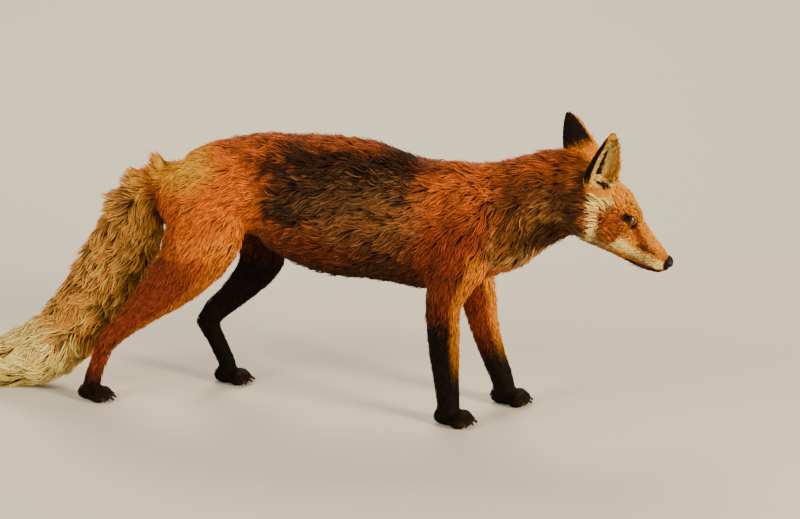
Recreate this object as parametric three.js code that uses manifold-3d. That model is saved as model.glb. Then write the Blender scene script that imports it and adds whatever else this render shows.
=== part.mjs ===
// A red fox, life size, standing in mid step with its head lowered and its brush trailing on the floor.
// Every solid reaches the tips of the coat. Lengths are in millimetres. +X is the way the trunk faces,
// +Y is the fox's left and +Z is up. The body is modelled whole from lofted forms and then parted with
// thin cuts into the pieces that a person would name.
import * as THREE from "three";
import { mergeVertices } from "three/addons/utils/BufferGeometryUtils.js";
import Module from "manifold-3d";

const wasm = await Module();
wasm.setup();

// ---- Driving dimensions ----

const GAP = 0.3; // clearance between neighbouring pieces
const LEFT = 1; // sign of Y on the fox's left
const RIGHT = -1; // sign of Y on the fox's right

const NOSE_TIP = new THREE.Vector3(463, 62, 215); // front of the nose pad
const HEAD_PITCH = 42; // degrees that the head's long axis points down
const HEAD_YAW = 27; // degrees that the head turns to the fox's left
const HEAD_ROLL = 4; // degrees that its left side is raised
const EYE_BEHIND_NOSE = 101;
const EYE_ABOVE_AXIS = 12;
const EYE_FROM_MIDDLE = 25;
const EYE_RADIUS = 9.5;
const NOSE_PAD_DEPTH = 13;
const MOUTH_LENGTH = 62; // from the chin back to the corner of the mouth

const EAR_HALF_WIDTH = 26.5;
const EAR_HALF_DEPTH = 19;
const EAR_WALL = 3.2;

const PAW_LENGTH = 56;
const PAW_HALF_WIDTH = 20;
const PAW_HEIGHT = 27;
const TOE_RADIUS = 9;
const CLAW_LENGTH = 10;
const CLAW_RADIUS = 2.6;

// ---- Lofts ----

// One cross-section of a loft: its centre, half its width to each side, and how far it reaches up and down
// from the centre. On a leg, up is the leg's front and down is its back.
function section(x, y, z, half, up, down = up) {
  return { centre: new THREE.Vector3(x, y, z), size: new THREE.Vector3(half, up, down) };
}

// A closed surface through cross-sections. `across` is the side direction, `square` is the exponent of the
// sections' outline (2 is an ellipse), and `taper` narrows their upper half.
function loft(sections, { steps, sides, across = new THREE.Vector3(0, 1, 0), square = 2, taper = 0 }) {
  const path = new THREE.CatmullRomCurve3(sections.map((s) => s.centre), false, "catmullrom", 0.5);
  const sizes = new THREE.CatmullRomCurve3(sections.map((s) => s.size), false, "catmullrom", 0.5);
  const vertices = [];
  const faces = [];
  for (let i = 0; i <= steps; i++) {
    const centre = path.getPoint(i / steps);
    const tangent = path.getTangent(i / steps);
    const side = across.clone().addScaledVector(tangent, -across.dot(tangent)).normalize();
    const upward = new THREE.Vector3().crossVectors(tangent, side);
    const size = sizes.getPoint(i / steps);
    for (let j = 0; j < sides; j++) {
      const angle = (2 * Math.PI * j) / sides;
      const c = rounded(Math.cos(angle), square);
      const s = rounded(Math.sin(angle), square);
      const point = centre
        .clone()
        .addScaledVector(side, c * size.x * (1 - taper * s))
        .addScaledVector(upward, s * (s > 0 ? size.y : size.z));
      vertices.push(...point.toArray());
    }
  }
  for (let i = 0; i < steps; i++) {
    for (let j = 0; j < sides; j++) {
      const a = i * sides + j;
      const b = i * sides + ((j + 1) % sides);
      faces.push(a, b, b + sides, a, b + sides, a + sides);
    }
  }
  for (const [ring, point, turned] of [
    [0, path.getPoint(0), true],
    [steps * sides, path.getPoint(1), false],
  ]) {
    const middle = vertices.length / 3;
    vertices.push(...point.toArray());
    for (let j = 0; j < sides; j++) {
      const a = ring + j;
      const b = ring + ((j + 1) % sides);
      faces.push(middle, ...(turned ? [b, a] : [a, b]));
    }
  }
  const geometry = new THREE.BufferGeometry();
  geometry.setAttribute("position", new THREE.Float32BufferAttribute(vertices, 3));
  geometry.setIndex(faces);
  return geometry;
}

// The share of a radius that a superellipse of exponent `square` has at a sine or cosine.
function rounded(value, square) {
  return Math.sign(value) * Math.abs(value) ** (2 / square);
}

// ---- Solids ----

// A closed geometry as a solid, placed by an optional matrix.
function solid(geometry, matrix = new THREE.Matrix4()) {
  const bare = geometry.clone();
  bare.deleteAttribute("normal");
  bare.deleteAttribute("uv");
  bare.applyMatrix4(matrix);
  const merged = mergeVertices(bare, 1e-4);
  const made = new wasm.Manifold(
    new wasm.Mesh({
      numProp: 3,
      vertProperties: new Float32Array(merged.attributes.position.array),
      triVerts: new Uint32Array(merged.index.array),
    }),
  );
  return made;
}

function geometryOf(made) {
  const mesh = made.getMesh();
  const geometry = new THREE.BufferGeometry();
  geometry.setAttribute("position", new THREE.BufferAttribute(new Float32Array(mesh.vertProperties), 3));
  geometry.setIndex(new THREE.BufferAttribute(new Uint32Array(mesh.triVerts), 1));
  geometry.computeVertexNormals();
  return geometry;
}

function join(solids) {
  return solids.reduce((all, one) => all.add(one));
}

// A matrix that stands a shape at a point, turned by roll about X, pitch about Y and yaw about Z, in degrees.
function placed(point, { roll = 0, pitch = 0, yaw = 0 } = {}, scale = new THREE.Vector3(1, 1, 1)) {
  const turn = new THREE.Euler(...[roll, pitch, yaw].map(THREE.MathUtils.degToRad), "ZYX");
  return new THREE.Matrix4().compose(point, new THREE.Quaternion().setFromEuler(turn), scale);
}

// A rounded lump of flesh: an ellipsoid of three radii.
function lump(point, radii, turn = {}, around = 8, high = 6) {
  return solid(new THREE.SphereGeometry(1, around, high), placed(point, turn, new THREE.Vector3(...radii)));
}

// A box as a solid, for cuts.
function block(point, size, turn = {}) {
  return solid(new THREE.BoxGeometry(...size), placed(point, turn));
}

// ---- Trunk and neck ----

const TRUNK = [
  section(-238, 0, 292, 14, 12),
  section(-228, 0, 290, 40, 32, 36),
  section(-206, 0, 286, 54, 50, 56),
  section(-170, 0, 290, 63, 66, 58),
  section(-125, 0, 298, 68, 72, 58),
  section(-84, 0, 300, 70, 80, 66),
  section(-48, 0, 292, 72, 90, 86),
  section(0, 0, 286, 75, 96, 97),
  section(50, 0, 282, 77, 97, 98),
  section(100, 0, 270, 76, 90, 88),
  section(150, 0, 264, 71, 92, 88),
  section(196, 0, 268, 62, 96, 73),
  section(234, 2, 284, 54, 80, 78),
  section(270, 7, 302, 49, 66, 68),
  section(304, 14, 317, 46, 62, 66),
  section(338, 22, 330, 42, 54, 58),
  section(362, 30, 334, 26, 34, 36),
];

function makeTrunk() {
  const barrel = solid(loft(TRUNK, { steps: 26, sides: 16, square: 2.1 }));
  const shoulders = [LEFT, RIGHT].map((side) =>
    lump(new THREE.Vector3(196, side * 40, 278), [46, 32, 72], { pitch: 12 }),
  );
  return join([barrel, ...shoulders]);
}

// ---- Head ----

const HEAD_FRAME = placed(NOSE_TIP, { roll: HEAD_ROLL, pitch: HEAD_PITCH, yaw: HEAD_YAW });

// Cross-sections along the head's own axis, from the back of the skull (-X) to the nose (X = 0).
const HEAD = [
  section(-208, 0, -2, 28, 22, 24),
  section(-194, 0, -3, 47, 37, 41),
  section(-172, 0, -4, 56, 45, 52),
  section(-150, 0, -4, 57, 45, 54),
  section(-132, 0, -4, 51, 45, 53),
  section(-117, 0, -4, 43, 44, 50),
  section(-103, 0, -4, 35.5, 40, 46),
  section(-90, 0, -4, 30.5, 33.5, 43),
  section(-78, 0, -4.5, 27, 26.5, 40),
  section(-64, 0, -6, 23.5, 23, 36),
  section(-48, 0, -9, 20.5, 21.5, 29.5),
  section(-30, 0, -11, 17, 20.5, 22),
  section(-14, 0, -9, 14, 17, 15),
  section(-5, 0, -4.5, 10.5, 10, 8.5),
  section(0, 0, -2.5, 6, 5, 5),
];

function eyeball(side, radius) {
  const centre = new THREE.Vector3(-EYE_BEHIND_NOSE, side * EYE_FROM_MIDDLE, EYE_ABOVE_AXIS);
  return lump(centre, [radius, radius, radius], {}, 9, 6);
}

function makeHead() {
  const skull = solid(loft(HEAD, { steps: 20, sides: 16, square: 2.1, taper: 0.12 }));
  const pieces = [skull];
  for (const side of [LEFT, RIGHT]) {
    pieces.push(lump(new THREE.Vector3(-101, side * 20, 23), [18, 11, 10], { pitch: 16, yaw: side * 20 }));
    pieces.push(lump(new THREE.Vector3(-126, side * 40, -16), [28, 14, 25], { yaw: side * 22 }));
    pieces.push(lump(new THREE.Vector3(-158, side * 48, -22), [25, 17, 28], { yaw: side * 34 }));
    pieces.push(lump(new THREE.Vector3(-26, side * 9.5, -15), [20, 9, 11], { yaw: side * 6 }));
  }
  let head = join(pieces);
  for (const side of [LEFT, RIGHT]) {
    head = head.subtract(eyeball(side, EYE_RADIUS + GAP));
  }
  return head.transform(HEAD_FRAME.toArray());
}

// ---- Ears ----

// In the head's frame: the middle of each ear's base, its tip, and the way that its hollow faces.
const EARS = {
  right_ear: { base: [-170, -32, 19], tip: [-214, -50, 90], faces: [0.45, -1, 0.1] },
  left_ear: { base: [-168, 32, 18], tip: [-240, 54, 61], faces: [0.3, 1, 0.1] },
};

// Cross-sections of an ear from its base up to its tip, from shares of its height, width and depth.
function earSections(halfWidth, halfDepth, height, start = 0) {
  const profile = [
    [-0.1, 0.78, 1.0],
    [0.1, 0.98, 1.0],
    [0.3, 1.0, 0.86],
    [0.5, 0.84, 0.68],
    [0.68, 0.64, 0.5],
    [0.84, 0.42, 0.33],
    [0.95, 0.22, 0.19],
    [1.0, 0.06, 0.06],
  ];
  return profile.map(([share, width, depth]) =>
    section(0, 0, start + share * height, halfWidth * width, halfDepth * depth),
  );
}

// One ear: a tall cup whose hollow opens along its own +X.
function makeEar({ base, tip, faces }) {
  const options = { steps: 7, sides: 10, square: 2 };
  const foot = new THREE.Vector3(...base);
  const axis = new THREE.Vector3(...tip).sub(foot);
  const height = axis.length();
  axis.normalize();
  const side = new THREE.Vector3().crossVectors(axis, new THREE.Vector3(...faces)).normalize();
  const stand = new THREE.Matrix4().makeBasis(side.clone().cross(axis), side, axis).setPosition(foot);
  const shell = solid(loft(earSections(EAR_HALF_WIDTH, EAR_HALF_DEPTH, height), options));
  const hollow = solid(
    loft(earSections(EAR_HALF_WIDTH - EAR_WALL, EAR_HALF_DEPTH * 1.3, height * 0.8, 11), options),
    placed(new THREE.Vector3(EAR_HALF_DEPTH * 0.62, 0, 0), { pitch: 3 }),
  );
  return shell.subtract(hollow).transform(HEAD_FRAME.clone().multiply(stand).toArray());
}

// ---- Legs ----

const FORE_RIGHT = [
  section(206, -40, 300, 20, 30, 34),
  section(196, -48, 262, 24, 46, 46),
  section(184, -54, 222, 24, 44, 40),
  section(175, -57, 192, 21, 30, 30),
  section(171, -58, 168, 18.5, 25, 26),
  section(171, -56, 132, 17, 23.5, 23.5),
  section(172, -54, 98, 15.5, 21.5, 21.5),
  section(174, -52, 64, 14.5, 18.5, 18.5),
  section(176, -50, 36, 14, 16.5, 16.5),
  section(178, -50, 14, 13, 15, 15),
];

const FORE_LEFT = [
  section(206, 40, 296, 20, 30, 34),
  section(200, 46, 256, 24, 46, 46),
  section(190, 52, 214, 24, 42, 40),
  section(190, 55, 180, 20, 29, 29),
  section(196, 56, 148, 18.5, 25, 26),
  section(201, 56, 118, 17, 22.5, 22.5),
  section(209, 54, 90, 15.5, 19.5, 19.5),
  section(219, 52, 62, 14.5, 17.5, 17.5),
  section(229, 50, 38, 14, 16, 16),
  section(234, 50, 16, 13, 15, 15),
];

const HIND_RIGHT = [
  section(-176, -38, 318, 22, 36, 40),
  section(-168, -48, 280, 26, 58, 50),
  section(-165, -55, 242, 27, 60, 57),
  section(-176, -60, 206, 25, 42, 53),
  section(-202, -62, 172, 21, 30, 46),
  section(-238, -62, 141, 17, 22, 33),
  section(-271, -61, 113, 14, 17.5, 20),
  section(-298, -60, 88, 13, 15.5, 17),
  section(-312, -59, 58, 12.5, 12, 12.5),
  section(-322, -58, 30, 12.5, 12, 12.5),
  section(-326, -58, 12, 12, 11, 11),
];

const HIND_LEFT = [
  section(-170, 38, 316, 22, 36, 40),
  section(-150, 48, 278, 26, 58, 50),
  section(-124, 54, 236, 27, 58, 48),
  section(-110, 58, 198, 25, 41, 36),
  section(-118, 58, 166, 21, 30, 28),
  section(-142, 57, 136, 17, 22, 22),
  section(-166, 56, 111, 14.5, 18, 18),
  section(-187, 55, 90, 13, 17, 20),
  section(-176, 54, 62, 12.5, 12, 12.5),
  section(-163, 53, 36, 12.5, 12, 12.5),
  section(-156, 52, 15, 12, 11, 11),
];

// One paw on the floor: a pad, four toes and their claws, with the toe tips towards +X and yawed outwards.
function makePaw(heel, side, size) {
  const length = PAW_LENGTH * size;
  const width = PAW_HALF_WIDTH * size;
  const height = PAW_HEIGHT * size;
  const back = lump(new THREE.Vector3(length * 0.28, 0, height * 0.42), [length * 0.42, width * 0.82, height * 0.52]);
  const pieces = [back];
  for (const toe of [-1.5, -0.5, 0.5, 1.5]) {
    const middle = Math.abs(toe) < 1;
    const reach = length * (middle ? 0.7 : 0.58);
    const place = new THREE.Vector3(reach, (toe * width) / 1.75, height * 0.3);
    const fan = { yaw: toe * 7 };
    pieces.push(lump(place, [length * 0.26, TOE_RADIUS * size, height * 0.4], fan, 6, 4));
    pieces.push(
      solid(new THREE.ConeGeometry(CLAW_RADIUS, CLAW_LENGTH * 2, 4), placed(
        new THREE.Vector3(reach + length * 0.2, (toe * width) / 1.68, height * 0.24),
        { pitch: 18, yaw: toe * 7 },
      ).multiply(placed(new THREE.Vector3(), { yaw: -90 }))),
    );
  }
  return join(pieces).transform(placed(heel, { yaw: side * 4 }).toArray());
}

function makeLeg(sections, side, pawSize, pawBack) {
  const limb = solid(loft(sections, { steps: Math.round(sections.length * 1.3), sides: 10, square: 2.1 }));
  const foot = sections.at(-1).centre;
  const paw = makePaw(new THREE.Vector3(foot.x - pawBack, foot.y, 0), side, pawSize);
  return limb.add(paw);
}

// ---- Tail ----

const TAIL = [
  section(-205, 0, 316, 20, 18, 22),
  section(-236, 0, 303, 28, 26, 29),
  section(-264, 0, 276, 33, 33, 41),
  section(-287, 0, 238, 36, 37, 60),
  section(-306, -2, 190, 41, 43, 59),
  section(-326, -6, 140, 46, 48, 53),
  section(-356, -12, 91, 48, 50, 46),
  section(-396, -18, 56, 46, 47, 47),
  section(-442, -24, 38, 39, 38, 41),
  section(-486, -28, 27, 27, 27, 29),
  section(-516, -30, 20, 14, 13, 13),
  section(-528, -30, 18, 4, 4, 4),
];

function makeTail() {
  return solid(loft(TAIL, { steps: 19, sides: 14, across: new THREE.Vector3(0, -1, 0) }));
}

// ---- Parting into named pieces ----

// Thin cuts through the whole body. Each is a sheet as thick as the gap.
function cuts() {
  const sheet = (point, size, turn) => block(new THREE.Vector3(...point), size, turn);
  const headSheet = (x, z, size, turn = {}) =>
    solid(new THREE.BoxGeometry(...size), HEAD_FRAME.clone().multiply(placed(new THREE.Vector3(x, 0, z), turn)));
  const made = [
    sheet([240, 0, 290], [GAP, 300, 300], { pitch: -22 }), // neck from trunk
    sheet([330, 4, 318], [GAP, 280, 280], { pitch: -24, yaw: 24 }), // head from neck
    headSheet(-NOSE_PAD_DEPTH, 8, [GAP, 40, 60], { pitch: -24 }), // nose pad from muzzle
    headSheet(-MOUTH_LENGTH / 2 - 2, -27, [MOUTH_LENGTH + 4, 80, GAP], { pitch: -14 }), // upper lip from lower jaw
    headSheet(-MOUTH_LENGTH - 2, -52, [GAP, 80, 46], { pitch: 0 }), // back of the lower jaw
    sheet([-246, 0, 283], [GAP, 110, 150], { pitch: -30 }), // tail from trunk
    sheet([-310, 0, 178], [GAP, 150, 150], { pitch: -68 }), // brush, upper and middle
    sheet([-378, -15, 72], [GAP, 150, 150], { pitch: -43 }), // brush, middle and white tip
  ];
  for (const [side, fore, foreFoot, thigh, shank, hock] of [
    [RIGHT, 176, [175, 52], -170, [-220, 156], [-306, 72]],
    [LEFT, 192, [222, 50], -135, [-128, 152], [-181, 74]],
  ]) {
    made.push(sheet([fore, side * 70, 176], [110, 70, GAP], { pitch: 4 }));
    made.push(sheet([foreFoot[0], side * 55, foreFoot[1]], [70, 60, GAP], {}));
    made.push(sheet([thigh, side * 52, 232], [140, 100, GAP], {}));
    made.push(sheet([shank[0], side * 62, shank[1]], [GAP, 60, 90], { pitch: side === RIGHT ? -39 : -50 }));
    made.push(sheet([hock[0], side * 60, hock[1]], [50, 50, GAP], { pitch: side === RIGHT ? 20 : -20 }));
  }
  return made;
}

// Where the middle of each piece lies, so that the parted solids get their names.
const ANCHORS = {
  trunk: [10, 0, 285],
  neck: [298, 12, 310],
  head: [372, 25, 290],
  lower_jaw: [427, 48, 212],
  nose: [459, 60, 216],
  tail_root: [-270, 0, 225],
  tail_brush: [-352, -12, 100],
  tail_tip: [-460, -26, 36],
  right_foreleg: [172, -56, 118],
  left_foreleg: [202, 55, 112],
  right_forefoot: [184, -50, 26],
  left_forefoot: [240, 50, 26],
  right_thigh: [-178, -58, 200],
  left_thigh: [-118, 56, 196],
  right_shank: [-256, -61, 122],
  left_shank: [-156, 56, 118],
  right_hindfoot: [-312, -58, 36],
  left_hindfoot: [-158, 53, 38],
};

// ---- Assembly ----

const COLOURS = {
  trunk: 0x9a5426,
  neck: 0x96522a,
  head: 0xc4682a,
  lower_jaw: 0xe9dcc6,
  nose: 0x17120f,
  tail_root: 0xa8743c,
  tail_brush: 0xa8743c,
  tail_tip: 0xefe3c4,
  right_foreleg: 0x6b2f17,
  left_foreleg: 0x6b2f17,
  right_forefoot: 0x1c1310,
  left_forefoot: 0x1c1310,
  right_thigh: 0xb8561f,
  left_thigh: 0xb8561f,
  right_shank: 0xa8481c,
  left_shank: 0xa8481c,
  right_hindfoot: 0x5a2a16,
  left_hindfoot: 0x5a2a16,
  right_ear: 0x2a1c16,
  left_ear: 0x2a1c16,
  right_eye: 0x6a3e10,
  left_eye: 0x6a3e10,
};
const GLOSSY = ["nose", "right_eye", "left_eye"];

function meshOf(name, made) {
  const material = new THREE.MeshStandardMaterial({
    color: COLOURS[name],
    roughness: GLOSSY.includes(name) ? 0.2 : 0.9,
    metalness: 0,
  });
  const mesh = new THREE.Mesh(geometryOf(made), material);
  mesh.name = name;
  return mesh;
}

function nearestAnchor(made, names) {
  const { min, max } = made.boundingBox();
  const centre = new THREE.Vector3(...min).add(new THREE.Vector3(...max)).multiplyScalar(0.5);
  return names.reduce((best, name) =>
    centre.distanceTo(new THREE.Vector3(...ANCHORS[name])) < centre.distanceTo(new THREE.Vector3(...ANCHORS[best]))
      ? name
      : best,
  );
}

// A piece without what it stands on, and with a clear gap to it on every side.
function seated(piece, ground) {
  const ways = [[0, 0, 1], [-1, 0, 0], [0, 1, 0], [0, -1, 0]];
  const bare = ways.reduce(
    (rest, way) => rest.subtract(ground.translate(way.map((share) => share * 2 * GAP))),
    piece.subtract(ground),
  );
  return bare.decompose().sort((a, b) => b.volume() - a.volume())[0];
}

function makeFox() {
  const fox = new THREE.Group();
  const head = makeHead();
  const body = join([
    makeTrunk(),
    head,
    makeTail(),
    makeLeg(FORE_RIGHT, RIGHT, 1, 17),
    makeLeg(FORE_LEFT, LEFT, 1, 16),
    makeLeg(HIND_RIGHT, RIGHT, 0.92, 15),
    makeLeg(HIND_LEFT, LEFT, 0.92, 18),
  ]);
  const underFloor = block(new THREE.Vector3(0, 0, -100), [2000, 600, 200]);
  const flesh = cuts().reduce((rest, cut) => rest.subtract(cut), body.subtract(underFloor));

  const found = new Map();
  for (const piece of flesh.decompose()) {
    const name = nearestAnchor(piece, Object.keys(ANCHORS));
    if (found.has(name)) throw new Error(`two pieces are nearest to ${name}`);
    found.set(name, piece);
  }
  for (const [name, ear] of Object.entries(EARS)) found.set(name, seated(makeEar(ear), body));
  for (const [name, side] of [["right_eye", RIGHT], ["left_eye", LEFT]]) {
    found.set(name, eyeball(side, EYE_RADIUS).transform(HEAD_FRAME.toArray()));
  }
  for (const [name, made] of found) fox.add(meshOf(name, made));

  const box = new THREE.Box3().setFromObject(fox);
  const middle = box.getCenter(new THREE.Vector3());
  fox.position.set(-middle.x, -middle.y, -box.min.z);
  return fox;
}

export default makeFox();
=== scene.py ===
"""A red fox, life size, in mid step with its head lowered: skin, coat, eyes, nose, claws and whiskers.

Lengths are millimetres in the body's own frame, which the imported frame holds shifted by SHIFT: +X is the
way the trunk faces, +Y is the fox's left and +Z is up. They become metres as each mesh is made.
"""
import logging
import math
from collections.abc import Callable
from dataclasses import dataclass
from enum import Enum

import bmesh
import bpy
import numpy as np
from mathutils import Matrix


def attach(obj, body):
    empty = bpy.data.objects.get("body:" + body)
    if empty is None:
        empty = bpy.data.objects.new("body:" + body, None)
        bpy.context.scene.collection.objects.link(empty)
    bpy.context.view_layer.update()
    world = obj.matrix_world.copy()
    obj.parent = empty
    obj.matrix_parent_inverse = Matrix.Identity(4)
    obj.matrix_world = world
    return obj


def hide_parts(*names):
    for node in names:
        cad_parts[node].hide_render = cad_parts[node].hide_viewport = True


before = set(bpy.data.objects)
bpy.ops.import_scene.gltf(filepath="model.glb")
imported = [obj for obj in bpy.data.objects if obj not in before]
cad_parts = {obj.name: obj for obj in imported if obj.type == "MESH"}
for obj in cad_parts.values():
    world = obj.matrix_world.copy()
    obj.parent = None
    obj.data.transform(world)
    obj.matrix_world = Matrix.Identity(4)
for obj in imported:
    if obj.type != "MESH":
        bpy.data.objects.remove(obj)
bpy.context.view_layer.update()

import openvdb as vdb
from bpy.types import Material, Node, NodeSocket, NodeTree, Object
from mathutils import Vector
from mathutils.kdtree import KDTree

logging.basicConfig(level=logging.INFO, format="%(message)s")
LOG = logging.getLogger("fox")
SEED = 1873
SHIFT = np.array([32.177902, 0.870636, 0.0])  # the body frame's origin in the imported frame
SIDES = {1: "left", -1: "right"}
BODY = "root"
COAT_UV = "OFBake"
COLOURS = "Coat"
Array = np.ndarray
Random = np.random.Generator
Triple = tuple[float, float, float]


# ---- Numbers ----


def unit(v: Array) -> Array:
    """Vectors scaled to length one.

    Args: v: vectors, one to a row.
    Returns: the unit vectors.
    """
    return v / np.maximum(np.linalg.norm(v, axis=-1, keepdims=True), 1e-9)


def ease(value: Array, low: float, high: float) -> Array:
    """A smooth step.

    Args: value: numbers; low: where the step is 0; high: where it is 1.
    Returns: shares from 0 to 1.
    """
    t = np.clip((value - low) / (high - low), 0.0, 1.0)
    return t * t * (3 - 2 * t)


def mix(a: Array, b: Array, share: Array) -> Array:
    """Blends rows of two arrays.

    Args: a: rows at share 0; b: rows at share 1; share: one number to a row.
    Returns: the blended rows.
    """
    share = np.asarray(share)[:, None]
    return a * (1 - share) + b * share


def waves(points: Array, size: float, seed: int) -> Array:
    """Smooth noise made of sine waves in several directions.

    Args: points: places in mm; size: rough width of a blotch in mm; seed: picks the waves.
    Returns: one number to a place, about -1 to 1.
    """
    rng = np.random.default_rng(seed)
    total = np.zeros(len(points))
    for octave in range(3):
        for _ in range(4):
            way = unit(rng.normal(size=3)) * (2 * math.pi / size) * 1.9**octave
            total += np.sin(points @ way + rng.uniform(0, 6.3)) * 0.62**octave
    return total / 4.2


def linear(code: str) -> Array:
    """A colour code as linear light.

    Args: code: six hexadecimal digits.
    Returns: red, green and blue, 0 to 1.
    """
    srgb = np.array([int(code[i : i + 2], 16) for i in (0, 2, 4)]) / 255
    return np.where(srgb <= 0.04045, srgb / 12.92, ((srgb + 0.055) / 1.055) ** 2.4)


@dataclass(frozen=True)
class Place:
    """A frame that stands somewhere in the body's frame, with turns in degrees."""

    origin: Triple
    yaw: float = 0.0
    pitch: float = 0.0
    roll: float = 0.0

    @property
    def axes(self) -> Array:
        """The frame's axes as columns."""
        y, p, r = (math.radians(a) for a in (self.yaw, self.pitch, self.roll))
        about_z = np.array([[math.cos(y), -math.sin(y), 0], [math.sin(y), math.cos(y), 0], [0, 0, 1]])
        about_y = np.array([[math.cos(p), 0, math.sin(p)], [0, 1, 0], [-math.sin(p), 0, math.cos(p)]])
        about_x = np.array([[1, 0, 0], [0, math.cos(r), -math.sin(r)], [0, math.sin(r), math.cos(r)]])
        return about_z @ about_y @ about_x

    def inside(self, points: Array) -> Array:
        """Points of the body's frame, given in this one."""
        return (points - np.array(self.origin)) @ self.axes

    def outside(self, points: Array) -> Array:
        """Points of this frame, given in the body's."""
        return np.asarray(points, float) @ self.axes.T + np.array(self.origin)

    def ways(self, directions: Array) -> Array:
        """Directions of this frame, given in the body's."""
        return np.asarray(directions, float) @ self.axes.T


HEAD = Place((463, 62, 215), yaw=27, pitch=42, roll=4)
EYE_PLACE = (-101.0, 25.0, 12.0)  # in the head's frame, on the left
EYE_RADIUS = 9.5
NOSE_CENTRE = np.array([-7.6, 0.0, -2.2])
NOSE_RADII = np.array([8.0, 10.4, 7.6])
NOSE_VOXEL = 0.5


# ---- The body's parts ----


@dataclass(frozen=True)
class Part:
    """A part of the body along a line of rings: x, y, z and mean radius."""

    name: str
    rings: tuple[tuple[float, float, float, float], ...]

    @property
    def table(self) -> tuple[Array, Array, Array]:
        """The rings as rows, the spans between them, and how far along the line each ring is."""
        rings = np.array(self.rings, float)
        spans = np.linalg.norm(np.diff(rings[:, :3], axis=0), axis=1)
        return rings, spans, np.concatenate([[0], np.cumsum(spans)])

    def nearest(self, points: Array) -> tuple[Array, Array, Array]:
        """Where points lie along the part.

        Args: points: places in the body's frame.
        Returns: how far each is outside the part, its share of the length, and the line's direction there.
        """
        rings, spans, ahead = self.table
        best = np.full(len(points), 1e9)
        share = np.zeros(len(points))
        way = np.zeros((len(points), 3))
        for i, span in enumerate(spans):
            a, b = rings[i], rings[i + 1]
            line = (b[:3] - a[:3]) / span
            t = np.clip((points - a[:3]) @ line / span, 0, 1)
            gap = np.linalg.norm(points - a[:3] - t[:, None] * (b[:3] - a[:3]), axis=1)
            gap -= a[3] + t * (b[3] - a[3])
            closer = gap < best
            best = np.where(closer, gap, best)
            share = np.where(closer, (ahead[i] + t * span) / ahead[-1], share)
            way[closer] = line
        return best, share, way

    def unwrap(self, points: Array) -> Array:
        """The part's skin unrolled from its line: the angle round it and the share along it."""
        rings, _, ahead = self.table
        _, share, way = self.nearest(points)
        middle = np.stack([np.interp(share * ahead[-1], ahead, rings[:, i]) for i in range(3)], 1)
        across = unit(np.cross(way, np.array([0.0, 1.0, 0.0])))
        other = np.cross(way, across)
        off = points - middle
        angle = np.arctan2((off * other).sum(1), (off * across).sum(1))
        return np.stack([angle / (2 * math.pi) + 0.5, share], 1)


TRUNK = Part("trunk", ((-235, 0, 292, 40), (-125, 0, 298, 66), (0, 0, 286, 84), (100, 0, 272, 80),
                       (196, 0, 270, 74), (240, 2, 288, 62)))
NECK = Part("neck", ((240, 2, 288, 62), (270, 7, 302, 58), (304, 14, 317, 54), (330, 20, 328, 48)))
SKULL = Part("head", tuple(
    (*HEAD.outside((x, 0, -4)), r) for x, r in ((-190, 45), (-150, 52), (-103, 40), (-60, 27), (-5, 12))
))
TAIL = Part("tail", ((-236, 0, 303, 28), (-264, 0, 276, 33), (-287, 0, 238, 36), (-306, -2, 190, 41),
                     (-326, -6, 140, 47), (-356, -12, 91, 49), (-396, -18, 56, 46), (-442, -24, 38, 38),
                     (-486, -28, 27, 27), (-516, -30, 20, 14)))
FORE_RIGHT = Part("foreleg_right", ((184, -54, 222, 36), (175, -57, 192, 27), (171, -58, 168, 22),
                                    (171, -56, 132, 20), (172, -54, 98, 18), (174, -52, 64, 16),
                                    (178, -50, 22, 15)))
FORE_LEFT = Part("foreleg_left", ((190, 52, 214, 36), (190, 55, 180, 26), (196, 56, 148, 22),
                                  (201, 56, 118, 19), (209, 54, 90, 17), (219, 52, 62, 16),
                                  (234, 50, 22, 15)))
HIND_RIGHT = Part("hindleg_right", ((-165, -55, 246, 46), (-176, -60, 206, 35), (-202, -62, 172, 26),
                                    (-238, -62, 141, 20), (-271, -61, 113, 16), (-298, -60, 88, 15),
                                    (-312, -59, 58, 12), (-326, -58, 20, 12)))
HIND_LEFT = Part("hindleg_left", ((-124, 54, 240, 46), (-110, 58, 198, 33), (-118, 58, 166, 26),
                                  (-142, 57, 136, 20), (-166, 56, 111, 17), (-184, 55, 88, 15),
                                  (-176, 54, 62, 12), (-158, 52, 24, 12)))
LEGS = (FORE_RIGHT, FORE_LEFT, HIND_RIGHT, HIND_LEFT)
PARTS = (TRUNK, NECK, SKULL, TAIL, *LEGS)


@dataclass(frozen=True)
class Paw:
    """A paw on the floor: where its heel is, which side it is on, and its size."""

    heel: tuple[float, float]
    side: int
    size: float
    length: float = 56.0
    half_width: float = 20.0
    height: float = 27.0
    yaw: float = 4.0
    spread: float = 7.0
    knuckle: float = 0.34
    reaches: tuple[float, float] = (0.7, 0.58)

    @property
    def place(self) -> Place:
        """The paw's own frame."""
        return Place((*self.heel, 0.0), yaw=self.side * self.yaw)

    def toes(self) -> list[tuple[float, float, float, float]]:
        """Each toe's yaw, and where its claw grows from, in the paw's frame."""
        found = []
        for toe in (-1.5, -0.5, 0.5, 1.5):
            reach = self.length * self.size * self.reaches[abs(toe) > 1]
            across, high = toe * self.half_width * self.size / 1.72, self.height * self.size * self.knuckle
            found.append((toe * self.spread, reach, across, high))
        return found


PAWS = (
    Paw((161, -50), -1, 1.0),
    Paw((218, 50), 1, 1.0),
    Paw((-341, -58), -1, 0.92),
    Paw((-174, 52), 1, 0.92),
)


# ---- The lie of the coat ----


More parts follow.
